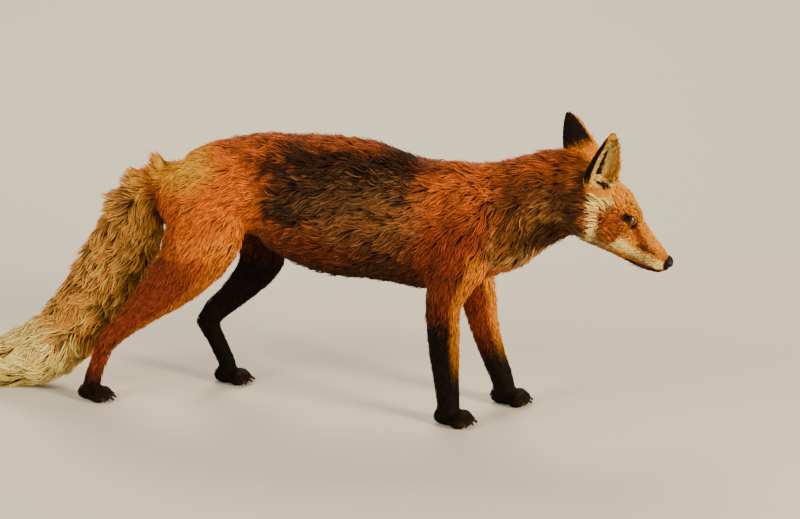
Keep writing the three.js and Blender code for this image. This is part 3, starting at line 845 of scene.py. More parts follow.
@dataclass
class Hide:
    """The skin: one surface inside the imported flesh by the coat's depth, finer on the face and the feet."""

    voxel: float = 3.5
    join_voxel: float = 2.5
    face_voxel: float = 1.3
    depth_voxel: float = 11.0
    band: int = 12
    joined_at: float = 0.8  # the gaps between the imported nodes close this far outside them
    lid: float = 1.3
    lid_blend: float = 3.0
    socket: float = 1.2  # how far inside the eyeball the parted lids end
    opening: Triple = (11.0, 3.9, 2.7)  # of the lids: half length, up and down
    face_back: float = -148.0
    face_join: float = 22.0
    face_box: tuple[float, float] = (80.0, 90.0)
    foot_top: float = 34.0
    foot_back: float = -350.0
    step: float = 0.9
    margin: float = 40.0

    def __post_init__(self) -> None:
        names = sorted(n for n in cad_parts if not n.endswith("_ear"))
        points, triangles = node_mesh(names)
        first = Field.of(points, triangles, self.join_voxel, 4)
        first.values = first.values - self.joined_at
        self.points, quads = first.surface()
        whole = halves(quads)
        self.coarse = Field.of(self.points, whole, self.voxel, self.band).evened(2)
        low = np.floor((self.points.min(0) - self.margin) / self.depth_voxel)
        shape = np.ceil((self.points.max(0) + self.margin) / self.depth_voxel - low).astype(int)
        self.deep = Field(np.zeros(shape, np.float32), low, self.depth_voxel)
        self.deep.values = (LIE.at(self.deep.places())[:, DEPTH] + self.joined_at).reshape(shape)
        near = HEAD.inside(self.points)
        front = self.points[(near[:, 0] > self.face_back - 12) & (np.abs(near[:, 1:]) < 100).all(1)]
        room = np.stack([front.min(0) - 8, front.max(0) + 8])
        self.fine = Field.of(self.points, whole, self.face_voxel, 11, room).evened(9)

    def depth(self, points: Array) -> Array:
        """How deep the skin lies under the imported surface."""
        return self.deep.at(points)

    def face(self, points: Array) -> Array:
        """How far places belong to the face, 0 to 1."""
        at_head = HEAD.inside(points)
        close = (np.abs(at_head[:, 1:]) < self.face_box).all(1)
        return ease(at_head[:, 0], self.face_back, self.face_back + self.face_join) * close

    def level(self, points: Array) -> Array:
        """The skin's own field: zero on the skin, with the forms of the face."""
        value = self.coarse.at(points) + self.depth(points)
        share = self.face(points)
        chosen = share > 0
        if chosen.any():
            spots = points[chosen]
            form = self.fine.at(spots) + self.depth(spots)
            at_head = HEAD.inside(spots)
            for side in SIDES:
                for dent in DENTS if side > 0 else [d for d in DENTS if d.place[1]]:
                    off = (at_head - np.array(dent.place) * (1, side, 1)) / np.array(dent.radii)
                    form = form + dent.amount * np.exp(-(off**2).sum(1))
                form = self.open_eye(form, at_head, side)
            value[chosen] = value[chosen] * (1 - share[chosen]) + form * share[chosen]
        return value

    def open_eye(self, form: Array, at_head: Array, side: int) -> Array:
        """Lids wrapped over one eyeball, parted by the opening between them."""
        off = at_head - np.array(EYE_PLACE) * (1, side, 1)
        out = np.linalg.norm(off, axis=1)
        ball = out - (EYE_RADIUS + self.lid)
        soft = np.clip(0.5 + 0.5 * (form - ball) / self.lid_blend, 0, 1)
        lids = form * (1 - soft) + ball * soft - self.lid_blend * soft * (1 - soft)
        length, upper, lower = self.opening
        along = np.clip(off[:, 0] / length, -1, 1)
        inside = np.where(off[:, 2] > 0, upper, lower) * (1 - along**2) - np.abs(off[:, 2])
        ahead = off[:, 1] * side > 0
        parted = np.clip(inside + 0.5, 0, 1) * ahead * (out < EYE_RADIUS + 8)
        return lids * (1 - parted) + (out - (EYE_RADIUS - self.socket)) * parted

    def settle(self, points: Array, times: int = 5, limit: float = 2.5) -> Array:
        """Moves places onto the skin's own field.

        Args: points: the places; times: how often they move; limit: the most that they move at a time.
        Returns: the new places.
        """
        points = points.copy()
        for _ in range(times):
            value = self.level(points)
            way = unit(gains(self.level, points, self.step))
            points -= way * np.clip(value, -limit, limit)[:, None] * 0.9
        return points

    def bake(self, level: Field) -> None:
        """Stores the skin's own field on grids: the whole body's, and a finer one of the face."""
        self.skin = level
        self.skin_face = Field(self.fine.values.copy(), self.fine.low, self.fine.voxel)
        flat = self.skin_face.values.reshape(-1)
        near = np.abs(flat) < 15
        places = self.skin_face.places()[near]
        close = self.face(places) > 0
        values = flat[near]
        values[close] = self.level(places[close])
        flat[near] = values

    def height(self, points: Array) -> Array:
        """How high places lie over the skin."""
        found = self.skin.at(points)
        share = self.face(points)
        chosen = share > 0.02
        near = self.skin_face.at(points[chosen])
        found[chosen] = found[chosen] * (1 - share[chosen]) + near * share[chosen]
        return found

    def way_out(self, points: Array) -> Array:
        """Outward directions of the skin at places, from the stored grids."""
        found = unit(self.skin.slope(points))
        share = self.face(points)
        chosen = share > 0.02
        near = unit(self.skin_face.slope(points[chosen], self.step))
        found[chosen] = unit(mix(found[chosen], near, share[chosen]))
        return found


def build_skin(hide: Hide) -> tuple[Array, Array]:
    """The skin of the whole body but for the ears.

    Args: hide: the skin's fields, which store it.
    Returns: its places and triangles.
    """
    level = Field(hide.coarse.values.copy(), hide.coarse.low, hide.voxel)
    places = level.places()
    flat = level.values.reshape(-1)
    near = np.abs(flat) < 34
    flat[near] += hide.depth(places[near]).astype(np.float32)
    points, quads = level.surface()
    made = make_object("skin_draft", points, quads)
    grid = bmesh.new()
    grid.from_mesh(made.data)
    co = np.array([v.co for v in grid.verts]) * 1000 - SHIFT
    face = hide.face(co) > 0
    foot = (co[:, 2] < hide.foot_top) & (co[:, 0] > hide.foot_back) & (np.abs(co[:, 1]) > 30)
    for chosen, cuts in ((face, 2), (foot, 1)):
        grid.verts.ensure_lookup_table()
        edges = [e for e in grid.edges if e.verts[0].index < len(co) and e.verts[1].index < len(co)
                 and chosen[e.verts[0].index] and chosen[e.verts[1].index]]
        bmesh.ops.subdivide_edges(grid, edges=edges, cuts=cuts, use_grid_fill=True, smooth=0)
    bmesh.ops.triangulate(grid, faces=grid.faces[:])
    grid.to_mesh(made.data)
    grid.free()
    co = np.empty(len(made.data.vertices) * 3, np.float32)
    made.data.vertices.foreach_get("co", co)
    points = co.reshape(-1, 3).astype(float) * 1000 - SHIFT
    triangles = np.empty(len(made.data.polygons) * 3, np.int32)
    made.data.loops.foreach_get("vertex_index", triangles)
    triangles = triangles.reshape(-1, 3)
    bpy.data.objects.remove(made)
    fine = hide.face(points) > 0
    points[fine] = hide.settle(points[fine])
    hide.bake(level)
    normals = hide.way_out(points)
    inward = (crosses(points, triangles) * normals[triangles].sum(1)).sum(1) < 0
    triangles[inward] = triangles[inward][:, ::-1]
    LOG.info("skin: %d triangles", len(triangles))
    return points, triangles


# ---- Coat ----


@dataclass
class Locks:
    """Locks of fur: their paths from root to tip, and what each looks like."""

    paths: Array  # lock, step, place
    ups: Array  # lock, step, outward direction
    widths: Array
    tips: Array
    roots: Array
    spots: Array  # each root's place on the unwrap

    SWELL = ((0, 0.3, 0.7, 1.0), (0.75, 1.0, 0.72, 0.3))  # a blade's width along it
    CORNERS = ((1.0, -0.33), (0.0, 0.67), (-1.0, -0.33))  # of its section: across and outwards
    FLAT = 0.84  # the section's thickness over its width
    SOFTNESS = 0.52  # how far the shading follows the skin
    PATCH = 0.003  # the length of a blade's patch on the unwrap

    @staticmethod
    def count_triangles(steps: int) -> int:
        """How many triangles one blade has."""
        return 6 * (steps - 1) + 4

    def mesh(self) -> tuple[Array, Array, Array, Array, Array]:
        """Every lock as a closed three-sided blade.

        Returns: places, triangles, normals, colours and unwrap of the vertices.
        """
        count, steps = self.paths.shape[:2]
        rings = steps - 1
        ways = unit(np.gradient(self.paths, axis=1))
        across = unit(np.cross(self.ups, ways))
        over = np.cross(ways, across)
        share = np.arange(rings) / rings
        half = (self.widths[:, None] * np.interp(share, *self.SWELL) / 2)[:, :, None, None]
        corners = np.array(self.CORNERS)
        off = corners[:, 0, None] * across[:, :rings, None]
        off = off + corners[:, 1, None] * over[:, :rings, None] * self.FLAT
        body = self.paths[:, :rings, None] + off * half
        points = np.concatenate([body.reshape(count, -1, 3), self.paths[:, -1:]], 1)
        lean = self.SOFTNESS * self.ups[:, :rings, None] + (1 - self.SOFTNESS) * unit(off)
        normals = np.concatenate([lean.reshape(count, -1, 3), self.ups[:, -1:]], 1)
        t = np.append(np.repeat(share, 3), 1.0)
        blend = (t**1.4)[None, :, None]
        colours = self.roots[:, None] * (1 - blend) + self.tips[:, None] * blend
        u = np.append(np.tile([-0.4 * self.PATCH, 0, 0.4 * self.PATCH], rings), 0)
        spots = self.spots[:, None] + np.stack([u, (t - 0.5) * self.PATCH], 1)[None]
        faces = [(2, 1, 0)]
        for a in range(rings * 3):
            b = a + 1 if a % 3 < 2 else a - 2
            if a < rings * 3 - 3:
                faces += [(a, b, b + 3), (a, b + 3, a + 3)]
            else:
                faces.append((a, b, rings * 3))
        triangles = (np.arange(count)[:, None, None] * points.shape[1] + np.array(faces)).reshape(-1, 3)
        return (points.reshape(-1, 3), triangles, unit(normals).reshape(-1, 3), colours.reshape(-1, 3),
                spots.reshape(-1, 2))


@dataclass(frozen=True)
class Crest:
    """A place where the locks stand up together."""

    tone: Tone
    place: Triple
    radii: Triple
    way: Triple
    length: float

    BEND = (-0.35, 0.0, -0.25)  # how the tips droop

    def hold(self, points: Array) -> Array:
        """How far the crest takes hold at places of the body's frame, 0 to 1."""
        off = (points - np.array(self.place)) / np.array(self.radii)
        return np.exp(-((off**2).sum(1) ** 1.5))

    def stand(self, paths: Array, rng: Random) -> Array:
        """The paths of locks, stood up where the crest holds them."""
        share = self.hold(paths[:, 0])[:, None, None]
        t = np.linspace(0, 1, paths.shape[1])[None, :, None]
        stray = rng.normal(0, 0.16, (len(paths), 1, 3)) * t
        reach = self.length * rng.uniform(0.7, 1.1, (len(paths), 1, 1))
        bend = np.array(self.BEND) * t**2 * 0.5
        stood = paths[:, :1] + unit(np.array(self.way) + stray + bend) * reach * t
        return paths * (1 - share) + stood * share


CRESTS = (
    Crest(Tone.GOLD, (-236, -6, 318), (15, 24, 22), (-0.25, 0.0, 1.0), 34),
    Crest(Tone.GOLD, (-264, -6, 300), (13, 26, 22), (-0.75, -0.1, 0.8), 34),
    Crest(Tone.TAN, (-286, -8, 274), (14, 26, 20), (-1.0, -0.1, 0.25), 36),
)
SLOTS = {"tail": "coat_tawny", "forelegs": "coat_black", "ear": "coat_black"}
PIECE_LIMIT = 185000  # triangles in a piece of coat
# Each piece of coat: its name, the parts that it covers and the steps of its locks.
COAT_PIECES = (
    ("trunk", ("trunk",), 3),
    ("neck", ("neck",), 3),
    ("head", ("head",), 2),
    ("tail", ("tail",), 5),
    ("forelegs", ("foreleg_right", "foreleg_left"), 2),
    ("hindlegs", ("hindleg_right", "hindleg_left"), 2),
)
EYE_BARE = (13.5, 6.0)  # half length and half height of the bare skin round an eye
PAD_BACK = -14.0  # how far back the nose pad keeps the skin bare
SOLE = 1.5  # no fur grows lower than this
FLOOR_GAP = 0.8  # no lock reaches lower than this


def dress(made: Object, finish: Material, slot: str, *nodes: str) -> None:
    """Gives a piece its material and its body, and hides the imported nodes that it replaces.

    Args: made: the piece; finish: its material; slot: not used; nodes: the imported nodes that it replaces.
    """
    made.data.materials.append(finish)
    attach(made, BODY)
    if nodes:
        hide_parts(*nodes)


def owners(points: Array) -> Array:
    """The index of the part that each place belongs to."""
    return np.argmin(np.stack([part.nearest(points)[0] for part in PARTS], 1), 1)


def finish_coat(name: str, locks: Locks, finish: Material) -> int:
    """Makes one piece of coat.

    Args: name: its name; locks: what it is made of; finish: its material.
    Returns: how many triangles it has.
    """
    points, triangles, normals, colours, uv = locks.mesh()
    made = make_object(name, points, triangles, normals)
    tint(made, colours)
    layer = made.data.uv_layers.new(name=COAT_UV)
    layer.data.foreach_set("uv", uv[triangles.ravel()].astype(np.float32).ravel())
    dress(made, finish, SLOTS.get(name.split("_")[1], "coat_rust"))
    return len(triangles)


def bare(points: Array) -> Array:
    """Which places grow no fur: the nose pad, the openings of the eyes and the soles."""
    at_head = HEAD.inside(points)
    pad = np.linalg.norm((at_head - NOSE_CENTRE) / (NOSE_RADII + 1.0), axis=1) < 1
    found = (pad & (at_head[:, 0] > PAD_BACK)) | (points[:, 2] < SOLE)
    off = (at_head - EYE_PLACE)[:, [0, 2]] / EYE_BARE
    return found | ((off**2).sum(1) < 1) & (np.abs(at_head[:, 1]) > 8)


@dataclass
class Coat:
    """The coat over the skin: where its locks grow, and how they lie."""

    hide: Hide
    points: Array
    triangles: Array
    crowd: float = 1.32  # the skin to each lock, over the square of its width
    rooted: float = 0.6  # how deep the roots sit
    lengths: tuple[float, float] = (0.72, 1.12)
    widths: tuple[float, float] = (0.75, 1.25)
    heights: tuple[float, float] = (0.55, 1.1)
    strays: tuple[float, float] = (0.07, 1.3)  # the share of locks that stand out, and how far
    leaders: tuple[float, float] = (6, 26)  # locks to a leader, where they gather least and most
    brightest: float = 0.95

    def sprout(self, rng: Random) -> tuple[Array, Array]:
        """Evenly scattered roots on the skin, and the blend of the guides there."""
        corners = self.points[self.triangles]
        area = np.linalg.norm(crosses(self.points, self.triangles), axis=1) / 2
        width = LIE.at(corners.mean(1))[:, WIDTH]
        total = np.cumsum(area / (width**2 * self.crowd))
        chosen = np.searchsorted(total, np.arange(rng.uniform(), total[-1], 1.0))
        chosen = np.minimum(chosen, len(area) - 1)
        a, b = rng.uniform(size=(2, len(chosen)))
        over = a + b > 1
        a[over], b[over] = 1 - a[over], 1 - b[over]
        first, second, third = corners[chosen].swapaxes(0, 1)
        roots = first + a[:, None] * (second - first) + b[:, None] * (third - first)
        roots = roots[~bare(roots)]
        return roots, LIE.at(roots)

    def trace(self, roots: Array, lie: Array, steps: int, rng: Random) -> tuple[Array, Array]:
        """Paths of the locks along the skin, rising to the coat's depth.

        Args: roots: where they grow; lie: the guides' blend there; steps: pieces of a path; rng: the draws.
        Returns: the paths and the outward directions along them.
        """
        count = len(roots)
        length = lie[:, LENGTH] * rng.uniform(*self.lengths, count)
        gather = lie[:, GATHER]
        shaggy = 0.92 + (0.06 + 0.1 * gather) * waves(roots, 15, SEED + 8) + rng.normal(0, 0.09, count)
        stray = rng.uniform(size=count) < self.strays[0]
        depth = lie[:, DEPTH] * np.where(stray, self.strays[1], np.clip(shaggy, *self.heights))
        turn = rng.normal(0, 0.11, count) + (0.1 + 0.5 * gather) * waves(roots, 28, SEED + 9)
        curl, phase = 0.45 * gather, 3 * waves(roots, 34, SEED + 10)
        place = roots.astype(float)
        up = self.hide.way_out(place)
        paths, ups = [place - up * self.rooted], [up]
        flow = lie[:, :3]
        for step in range(1, steps + 1):
            t = step / steps
            way = unit(flow - up * (flow * up).sum(1, keepdims=True))
            side = np.cross(up, way)
            way = unit(way + side * (turn * (1 + t) + curl * np.sin(5.5 * t + phase))[:, None])
            place = place + way * (length / steps)[:, None]
            up = self.hide.way_out(place)
            aim = depth * (1 - (1 - t) ** 2.2)
            place = place + up * (aim - self.hide.height(place))[:, None]
            paths.append(place)
            ups.append(up)
            if step < steps:
                flow = LIE.at(place)[:, :3]
        return np.stack(paths, 1), np.stack(ups, 1)

    def gather(self, paths: Array, lie: Array, rng: Random) -> Array:
        """Draws the tips of neighbouring locks together.

        Args: paths: the locks; lie: the guides' blend at their roots; rng: the draws.
        Returns: the paths.
        """
        count, steps = paths.shape[:2]
        chance = 1.0 / np.interp(lie[:, GATHER], [0.1, 0.9], self.leaders)
        heads = np.flatnonzero(rng.uniform(size=count) < chance)
        tree = KDTree(len(heads))
        for i, head in enumerate(heads):
            tree.insert(paths[head, 0], i)
        tree.balance()
        lead = heads[[tree.find(root)[1] for root in paths[:, 0]]]
        t = np.linspace(0, 1, steps)
        share = lie[:, GATHER, None] * rng.uniform(0.6, 1.15, count)[:, None] * t[None] ** 1.4
        share = np.clip(share, 0, 0.93)[:, :, None]
        return paths * (1 - share) + paths[lead] * share

    def colours(self, seen: Array, lie: Array, rng: Random) -> tuple[Array, Array]:
        """The colours of the tips and roots, with each lock a little different.

        Args: seen: a place on each lock near its tip; lie: the guides' blend at its root; rng: the draws.
        Returns: the colours.
        """
        paint = markings_and_painted_light(seen)
        clumps = 0.16 * waves(seen, 16, SEED + 5) + 0.2 * waves(seen, 6, SEED + 6)
        bright = np.exp(rng.normal(0.04, 0.18 + 0.22 * lie[:, GATHER]) + clumps)[:, None]
        tips, bases = (np.clip(colours * bright, 0, self.brightest) for colours in (paint.tips, paint.roots))
        return tips, bases

    def grow(self, finish: Material) -> None:
        """Builds the coat's pieces with a finish."""
        rng = np.random.default_rng(SEED)
        roots, lie = self.sprout(rng)
        owner = owners(roots)
        LOG.info("coat: %d locks", len(roots))
        total = 0
        for name, members, steps in COAT_PIECES:
            indices = [i for i, part in enumerate(PARTS) if part.name in members]
            chosen = np.flatnonzero(np.isin(owner, indices))
            paths, ups = self.trace(roots[chosen], lie[chosen], steps, rng)
            for crest in CRESTS if name in ("trunk", "tail") else ():
                paths = crest.stand(paths, rng)
            tips, bases = self.colours(paths[:, 0] * 0.35 + paths[:, -1] * 0.65, lie[chosen], rng)
            paths = self.gather(paths, lie[chosen], rng)
            paths[:, :, 2] = np.maximum(paths[:, :, 2], FLOOR_GAP)
            spots = np.zeros((len(chosen), 2))
            for slot, i in enumerate(indices):
                mine = owner[chosen] == i
                spot = PARTS[i].unwrap(roots[chosen][mine])
                spots[mine] = 0.004 + 0.992 * spot / (len(indices), 1) + (slot / len(indices), 0)
            widths = lie[chosen, WIDTH] * rng.uniform(*self.widths, len(chosen))
            order = np.argsort(roots[chosen][:, 0])
            shares = math.ceil(len(chosen) * Locks.count_triangles(steps) / PIECE_LIMIT)
            for number, piece in enumerate(np.array_split(order, shares)):
                locks = Locks(*(values[piece] for values in (paths, ups, widths, tips, bases, spots)))
                total += finish_coat(f"coat_{name}" + (f"_{number + 1}" if shares > 1 else ""), locks, finish)
        LOG.info("coat: %d triangles", total)


# ---- Ears ----


@dataclass(frozen=True)
class Ear:
    """One ear: a tall cup. Its base, its tip and the way its hollow faces are in the head's frame."""

    side: int
    base: Triple
    tip: Triple
    faces: Triple
    half_width: float = 25.1
    half_depth: float = 17.6
    voxel: float = 1.1
    floor: float = 9.0  # the hollow ends this far from the base and from the tip
    edge: float = 2.4
    wall: float = 1.9
    rooted: float = 8.0  # how far it goes into the head
    area: float = 2.6  # the skin to each lock, in square mm
    widths: tuple[float, float] = (1.0, 1.5)
    golden: tuple[float, float] = (0.3, 0.54)
    profile: tuple[Triple, ...] = (
        (-0.1, 0.78, 1.0), (0.1, 0.98, 1.0), (0.3, 1.0, 0.86), (0.5, 0.84, 0.68), (0.68, 0.64, 0.5),
        (0.84, 0.42, 0.33), (0.95, 0.22, 0.19), (1.0, 0.06, 0.06),
    )

    @property
    def height(self) -> float:
        """From the base to the tip."""
        return float(np.linalg.norm(np.subtract(self.tip, self.base)))

    @property
    def axes(self) -> Array:
        """The way it faces, its side and its height, as columns in the body's frame."""
        up = unit(np.subtract(self.tip, self.base))
        side = unit(np.cross(up, self.faces))
        return HEAD.axes @ np.stack([np.cross(side, up), side, up], 1)

    def outside(self, points: Array) -> Array:
        """Points of the ear's frame, given in the body's."""
        return points @ self.axes.T + HEAD.outside(np.array(self.base))

    def sizes(self, z: Array) -> tuple[Array, Array]:
        """Half width and half depth at heights over the base."""
        share, wide, deep = np.array(self.profile).T
        at = np.clip(z / self.height, share[0], share[-1])
        fine = np.linspace(share[0], share[-1], 60)

        def read(values: Array, size: float) -> Array:
            padded = np.pad(np.interp(fine, share, values), 3, "edge")
            return np.interp(at, fine, np.convolve(padded, np.ones(7) / 7, "valid")) * size

        return read(wide, self.half_width), read(deep, self.half_depth)

    def level(self, points: Array) -> tuple[Array, Array]:
        """The shell's field and the hollow's, in the ear's frame."""
        x, y, z = points.T
        a, b = self.sizes(z)
        small = np.minimum(a, b)
        outer = (np.hypot(y / a, x / b) - 1) * small
        outer = np.maximum(outer, z - self.height + 1.5)
        wide, deep = np.maximum(a - self.edge, 0.5), 1.36 * b
        middle = np.maximum(0.62 * b, 0.36 * b + self.wall)
        hollow = (np.hypot(y / wide, (x - middle) / deep) - 1) * np.minimum(wide, deep)
        hollow = np.maximum(hollow, np.maximum(self.floor - z, z - self.height + self.floor))
        return outer, hollow

    def skin(self) -> tuple[Array, Array, Array]:
        """Its skin: places, quads and normals, in the ear's frame."""
        grid = Field.empty((-24.0, -32.0, -12.0), (52.0, 64.0, self.height + 16), self.voxel)
        places = grid.places()
        outer, hollow = self.level(places)
        value = np.maximum(np.maximum(outer, -hollow), -self.rooted - places[:, 2])
        grid.values = value.reshape(grid.values.shape).astype(np.float32)
        grid = grid.blurred(1)
        points, quads = grid.surface()
        return points, quads, unit(grid.slope(points, 1.0))

    def lining(self, points: Array, normals: Array) -> Array:
        """Which places line the hollow."""
        return (self.level(points)[1] < 1.2) & (normals[:, 0] > -0.2)

    def markings_and_painted_light(self, points: Array, normals: Array) -> Paint:
        """The colours of the ear's coat at places in its own frame, with painted highlight on its lit front
        and painted shade in its hollow.
        """
        share = points[:, 2] / self.height
        a, _ = self.sizes(points[:, 2])
        within = self.lining(points, normals)
        rough = 0.05 * waves(points, 9, SEED + 90)
        front = -self.side * points[:, 1] / a
        # The slit is painted shade deep in the ear's hollow, between its pale fringes.
        slit_shade = ease(front + rough, -0.4, -0.25) * (1 - ease(front + 2 * rough, 0.22, 0.4))
        slit_shade = slit_shade * (1 - ease(share + 2 * rough, 0.56, 0.72))
        paint = Paint(len(points), Tone.BLACK)
        for tone, cover in (
            (Tone.AMBER, 1 - ease(share + rough, *self.golden)),
            (Tone.GOLD, (1 - ease(share + 2 * rough, 0.1, self.golden[0] + 0.1)) * 0.6),
            # Painted highlight on the lit front edge of the ear.
            (Tone.GOLD, ease(front, 0.82, 0.96) * 0.9),
            (Tone.CREAM, within),
            # Painted highlight on the front of the lining.
            (Tone.GOLD, within * ease(front + rough, 0.5, 0.9) * 0.8),
            (Tone.TAN, within * ease(share + 3 * rough, 0.55, 0.9) * 0.7),
            # Painted shade deep in the hollow.
            (Tone.DARK, within * slit_shade),
            # Painted highlight near the tip, where the ear faces forward towards the light.
            (Tone.GOLD, ease(normals[:, 0], 0.0, 0.4) * ease(share, 0.8, 0.9) * 0.8),
        ):
            paint.lay(tone, cover)
        return paint

    def locks(self, points: Array, triangles: Array, rng: Random) -> Locks:
        """Its fur: short on the back, long and pale inside along the edges."""
        cross = crosses(points, triangles)
        total = np.cumsum(np.linalg.norm(cross, axis=1) / 2 / self.area)
        chosen = np.minimum(np.searchsorted(total, np.arange(0.5, total[-1])), len(triangles) - 1)
        a, b = rng.dirichlet((1, 1, 1), len(chosen)).T[:2, :, None]
        first, second, third = points[triangles[chosen]].swapaxes(0, 1)
        roots = first * a + second * b + third * (1 - a - b)
        out = unit(cross[chosen])
        width, _ = self.sizes(roots[:, 2])
        across = np.clip(roots[:, 1] / width, -1, 1)
        rim = ease(np.abs(across), 0.45, 0.85) * self.lining(roots, out)
        rim = rim * (1 - ease(roots[:, 2] / self.height, 0.6, 1.0))
        way = np.stack([0.1 + 0.5 * rim, 0.25 * across * (1 - 2.6 * rim), np.ones(len(roots))], 1)
        way += rng.normal(0, 0.12, way.shape)
        way = unit(way - out * (way * out).sum(1, keepdims=True) * (1 - 0.45 * rim)[:, None])
        ahead = ease(-self.side * across, -0.3, 0.5)
        length = (5.0 + (2.5 + 9.0 * ahead) * rim) * rng.uniform(0.7, 1.15, len(roots))
        lift = (1.0 + 3.0 * rim) * rng.uniform(0.5, 1.1, len(roots))
        steps = 3
        t = np.linspace(0, 1, steps + 1)[None, :, None]
        paths = roots[:, None] + way[:, None] * length[:, None, None] * t
        paths = paths + out[:, None] * (lift[:, None, None] * (1 - (1 - t) ** 1.6) - 0.5 * (1 - t))
        paths[:, :, 2] = np.minimum(paths[:, :, 2], self.height + 1.0)
        paint = self.markings_and_painted_light(roots, out)
        bright = np.exp(rng.normal(0, 0.14, len(roots)))[:, None]
        turn = np.arctan2(roots[:, 1], roots[:, 0]) / (2 * math.pi) + 0.5
        spots = np.stack([turn, roots[:, 2] / 130 + 0.12], 1)
        spots = (spots * (0.49, 0.98)) + (0.005 + 0.5 * (self.side < 0), 0.01)
        ups = np.repeat((out @ self.axes.T)[:, None], steps + 1, 1)
        return Locks(self.outside(paths.reshape(-1, 3)).reshape(paths.shape), ups,
                     rng.uniform(*self.widths, len(roots)), paint.tips * bright, paint.roots * bright, spots)


EARS = (
    Ear(-1, (-170, -32, 19), (-214, -50, 90), (0.45, -1, 0.1), golden=(0.02, 0.16)),
    Ear(1, (-168, 32, 18), (-240, 54, 61), (0.3, 1, 0.1)),
)


# ---- Eyes and nose ----


EYE_RINGS = (48, 64)
GAZE = (0.42, 0.9, 0.06)  # of the left eye, in the head's frame
IRIS_INNER, IRIS_STREAK, IRIS_RIM = (linear(code) for code in ("5e300c", "8e5614", "2a1406"))
EYE_DARK, PUPIL = linear("0d0806"), linear("050404")


def build_eye(side: int) -> Object:
    """One eyeball, painted with its iris and upright pupil."""
    rows, columns = EYE_RINGS
    turn = np.linspace(0, math.pi, rows + 1)[1:-1, None]
    round_ = np.arange(columns)[None] * 2 * math.pi / columns
    gaze = unit(np.array(GAZE) * (1, side, 1))
    level = unit(np.cross(gaze, (0, 0, 1)))
    upright = np.cross(level, gaze)
    ring = np.sin(turn)[..., None] * (np.cos(round_)[..., None] * level + np.sin(round_)[..., None] * upright)
    shell = np.concatenate([[gaze], (ring + np.cos(turn)[..., None] * gaze).reshape(-1, 3), [-gaze]])
    off = shell @ np.stack([level, upright, gaze], 1) * EYE_RADIUS
    bulge = 0.5 * np.exp(-((off[:, 0] ** 2 + off[:, 1] ** 2) / 30)) * (off[:, 2] > 0)
    points = HEAD.outside(np.array(EYE_PLACE) * (1, side, 1) + shell * (EYE_RADIUS - 0.5 + bulge)[:, None])
    faces = []
    for j in range(columns):
        k = (j + 1) % columns
        faces.append((0, 1 + j, 1 + k))
        faces.append((len(shell) - 1, 1 + (rows - 2) * columns + k, 1 + (rows - 2) * columns + j))
        for i in range(rows - 2):
            a, b = 1 + i * columns + j, 1 + i * columns + k
            faces += [(a, a + columns, b + columns), (a, b + columns, b)]
    turned = np.array(faces)[:, ::-1]
    made = make_object(f"eye_{SIDES[side]}", points, turned, HEAD.ways(shell))
    far = np.hypot(off[:, 0], off[:, 1])
    angle = np.arctan2(off[:, 1], off[:, 0])
    streak = 0.5 + 0.5 * np.sin(angle * 37 + np.sin(angle * 11) * 2)
    colours = mix(IRIS_INNER, IRIS_STREAK, streak * 0.6)
    colours = mix(colours, IRIS_RIM, ease(far, 3.4, 5.2))
    colours = mix(colours, EYE_DARK, ease(far, 5.0, 6.2))
    pupil = np.hypot(off[:, 0] / 1.9, off[:, 1] / 3.9)
    colours = mix(colours, PUPIL, 1 - ease(pupil, 0.9, 1.15))
    colours[off[:, 2] < 0] = EYE_DARK
    tint(made, colours)
    return made


def build_nose() -> Object:
    """The nose pad: bare leather with two nostrils and the groove between them."""
    grid = Field.empty((-20.0, -15.0, -15.0), (24.0, 30.0, 26.0), NOSE_VOXEL)
    x, y, z = (grid.places() - NOSE_CENTRE).T
    y = np.abs(y)

    def ball(centre: Triple, radii: Triple) -> Array:
        """An ellipsoid to each side of the middle: 1 on its surface."""
        return np.linalg.norm([(v - c) / r for v, c, r in zip((x, y, z), centre, radii)], axis=0)

    value = (ball((0, 0, 0), NOSE_RADII) - 1) * 8
    value = np.minimum(value, (ball((1, 6.4, -0.8), (6.2, 5.0, 5.4)) - 1) * 5)  # wings
    value = np.maximum(value, (1 - ball((6.4, 4.4, -0.6), (3.6, 2.3, 2.5))) * 2.3)  # nostrils
    value = np.maximum(value, (1 - ball((3.0, 9.6, -2.6), (4.6, 3.0, 1.3))) * 1.3)  # their slits
    groove = np.maximum(y - 0.6, z + 1.0)
    value = np.maximum(value, np.minimum(-groove, value + 1.1))
    grid.values = value.reshape(grid.values.shape).astype(np.float32)
    grid = grid.blurred(1)
    points, quads = grid.surface()
    normals = HEAD.ways(unit(grid.slope(points, NOSE_VOXEL)))
    return make_object("nose_pad", HEAD.outside(points), quads, normals)


# ---- Whiskers and claws ----


class Graph:
    """A node tree in the making."""

    def __init__(self, tree: NodeTree) -> None:
        self.tree = tree

    @classmethod
    def group(cls, name: str, kind: str, inputs: dict[str, tuple], output: tuple[str, str]) -> "Graph":
        """A new node group.

        Args: name: its name; kind: Shader or Geometry; inputs: each one's socket type, and its value if it
            has one; output: its name and socket type.
        Returns: the group.
        """
        tree = bpy.data.node_groups.new(name, f"{kind}NodeTree")
        new = tree.interface.new_socket
        for label, (socket_type, *values) in inputs.items():
            socket = new(label, in_out="INPUT", socket_type=f"NodeSocket{socket_type}")
            for value in values:
                socket.default_value = value
        new(output[0], in_out="OUTPUT", socket_type=f"NodeSocket{output[1]}")
        return cls(tree)

    def node(self, kind: str, inputs: dict | None = None, **settings) -> Node:
        """Adds a node.

        Args: kind: its type; inputs: values, or sockets to link, for its inputs; settings: its own.
        Returns: the node.
        """
        made = self.tree.nodes.new(kind)
        for key, value in settings.items():
            setattr(made, key, value)
        for key, value in (inputs or {}).items():
            if isinstance(value, NodeSocket):
                self.tree.links.new(value, made.inputs[key])
            else:
                made.inputs[key].default_value = value
        return made

    def maths(self, operation: str, a: object, b: object) -> NodeSocket:
        """The result of one operation on two values or sockets."""
        return self.node("ShaderNodeMath", {0: a, 1: b}, operation=operation).outputs[0]


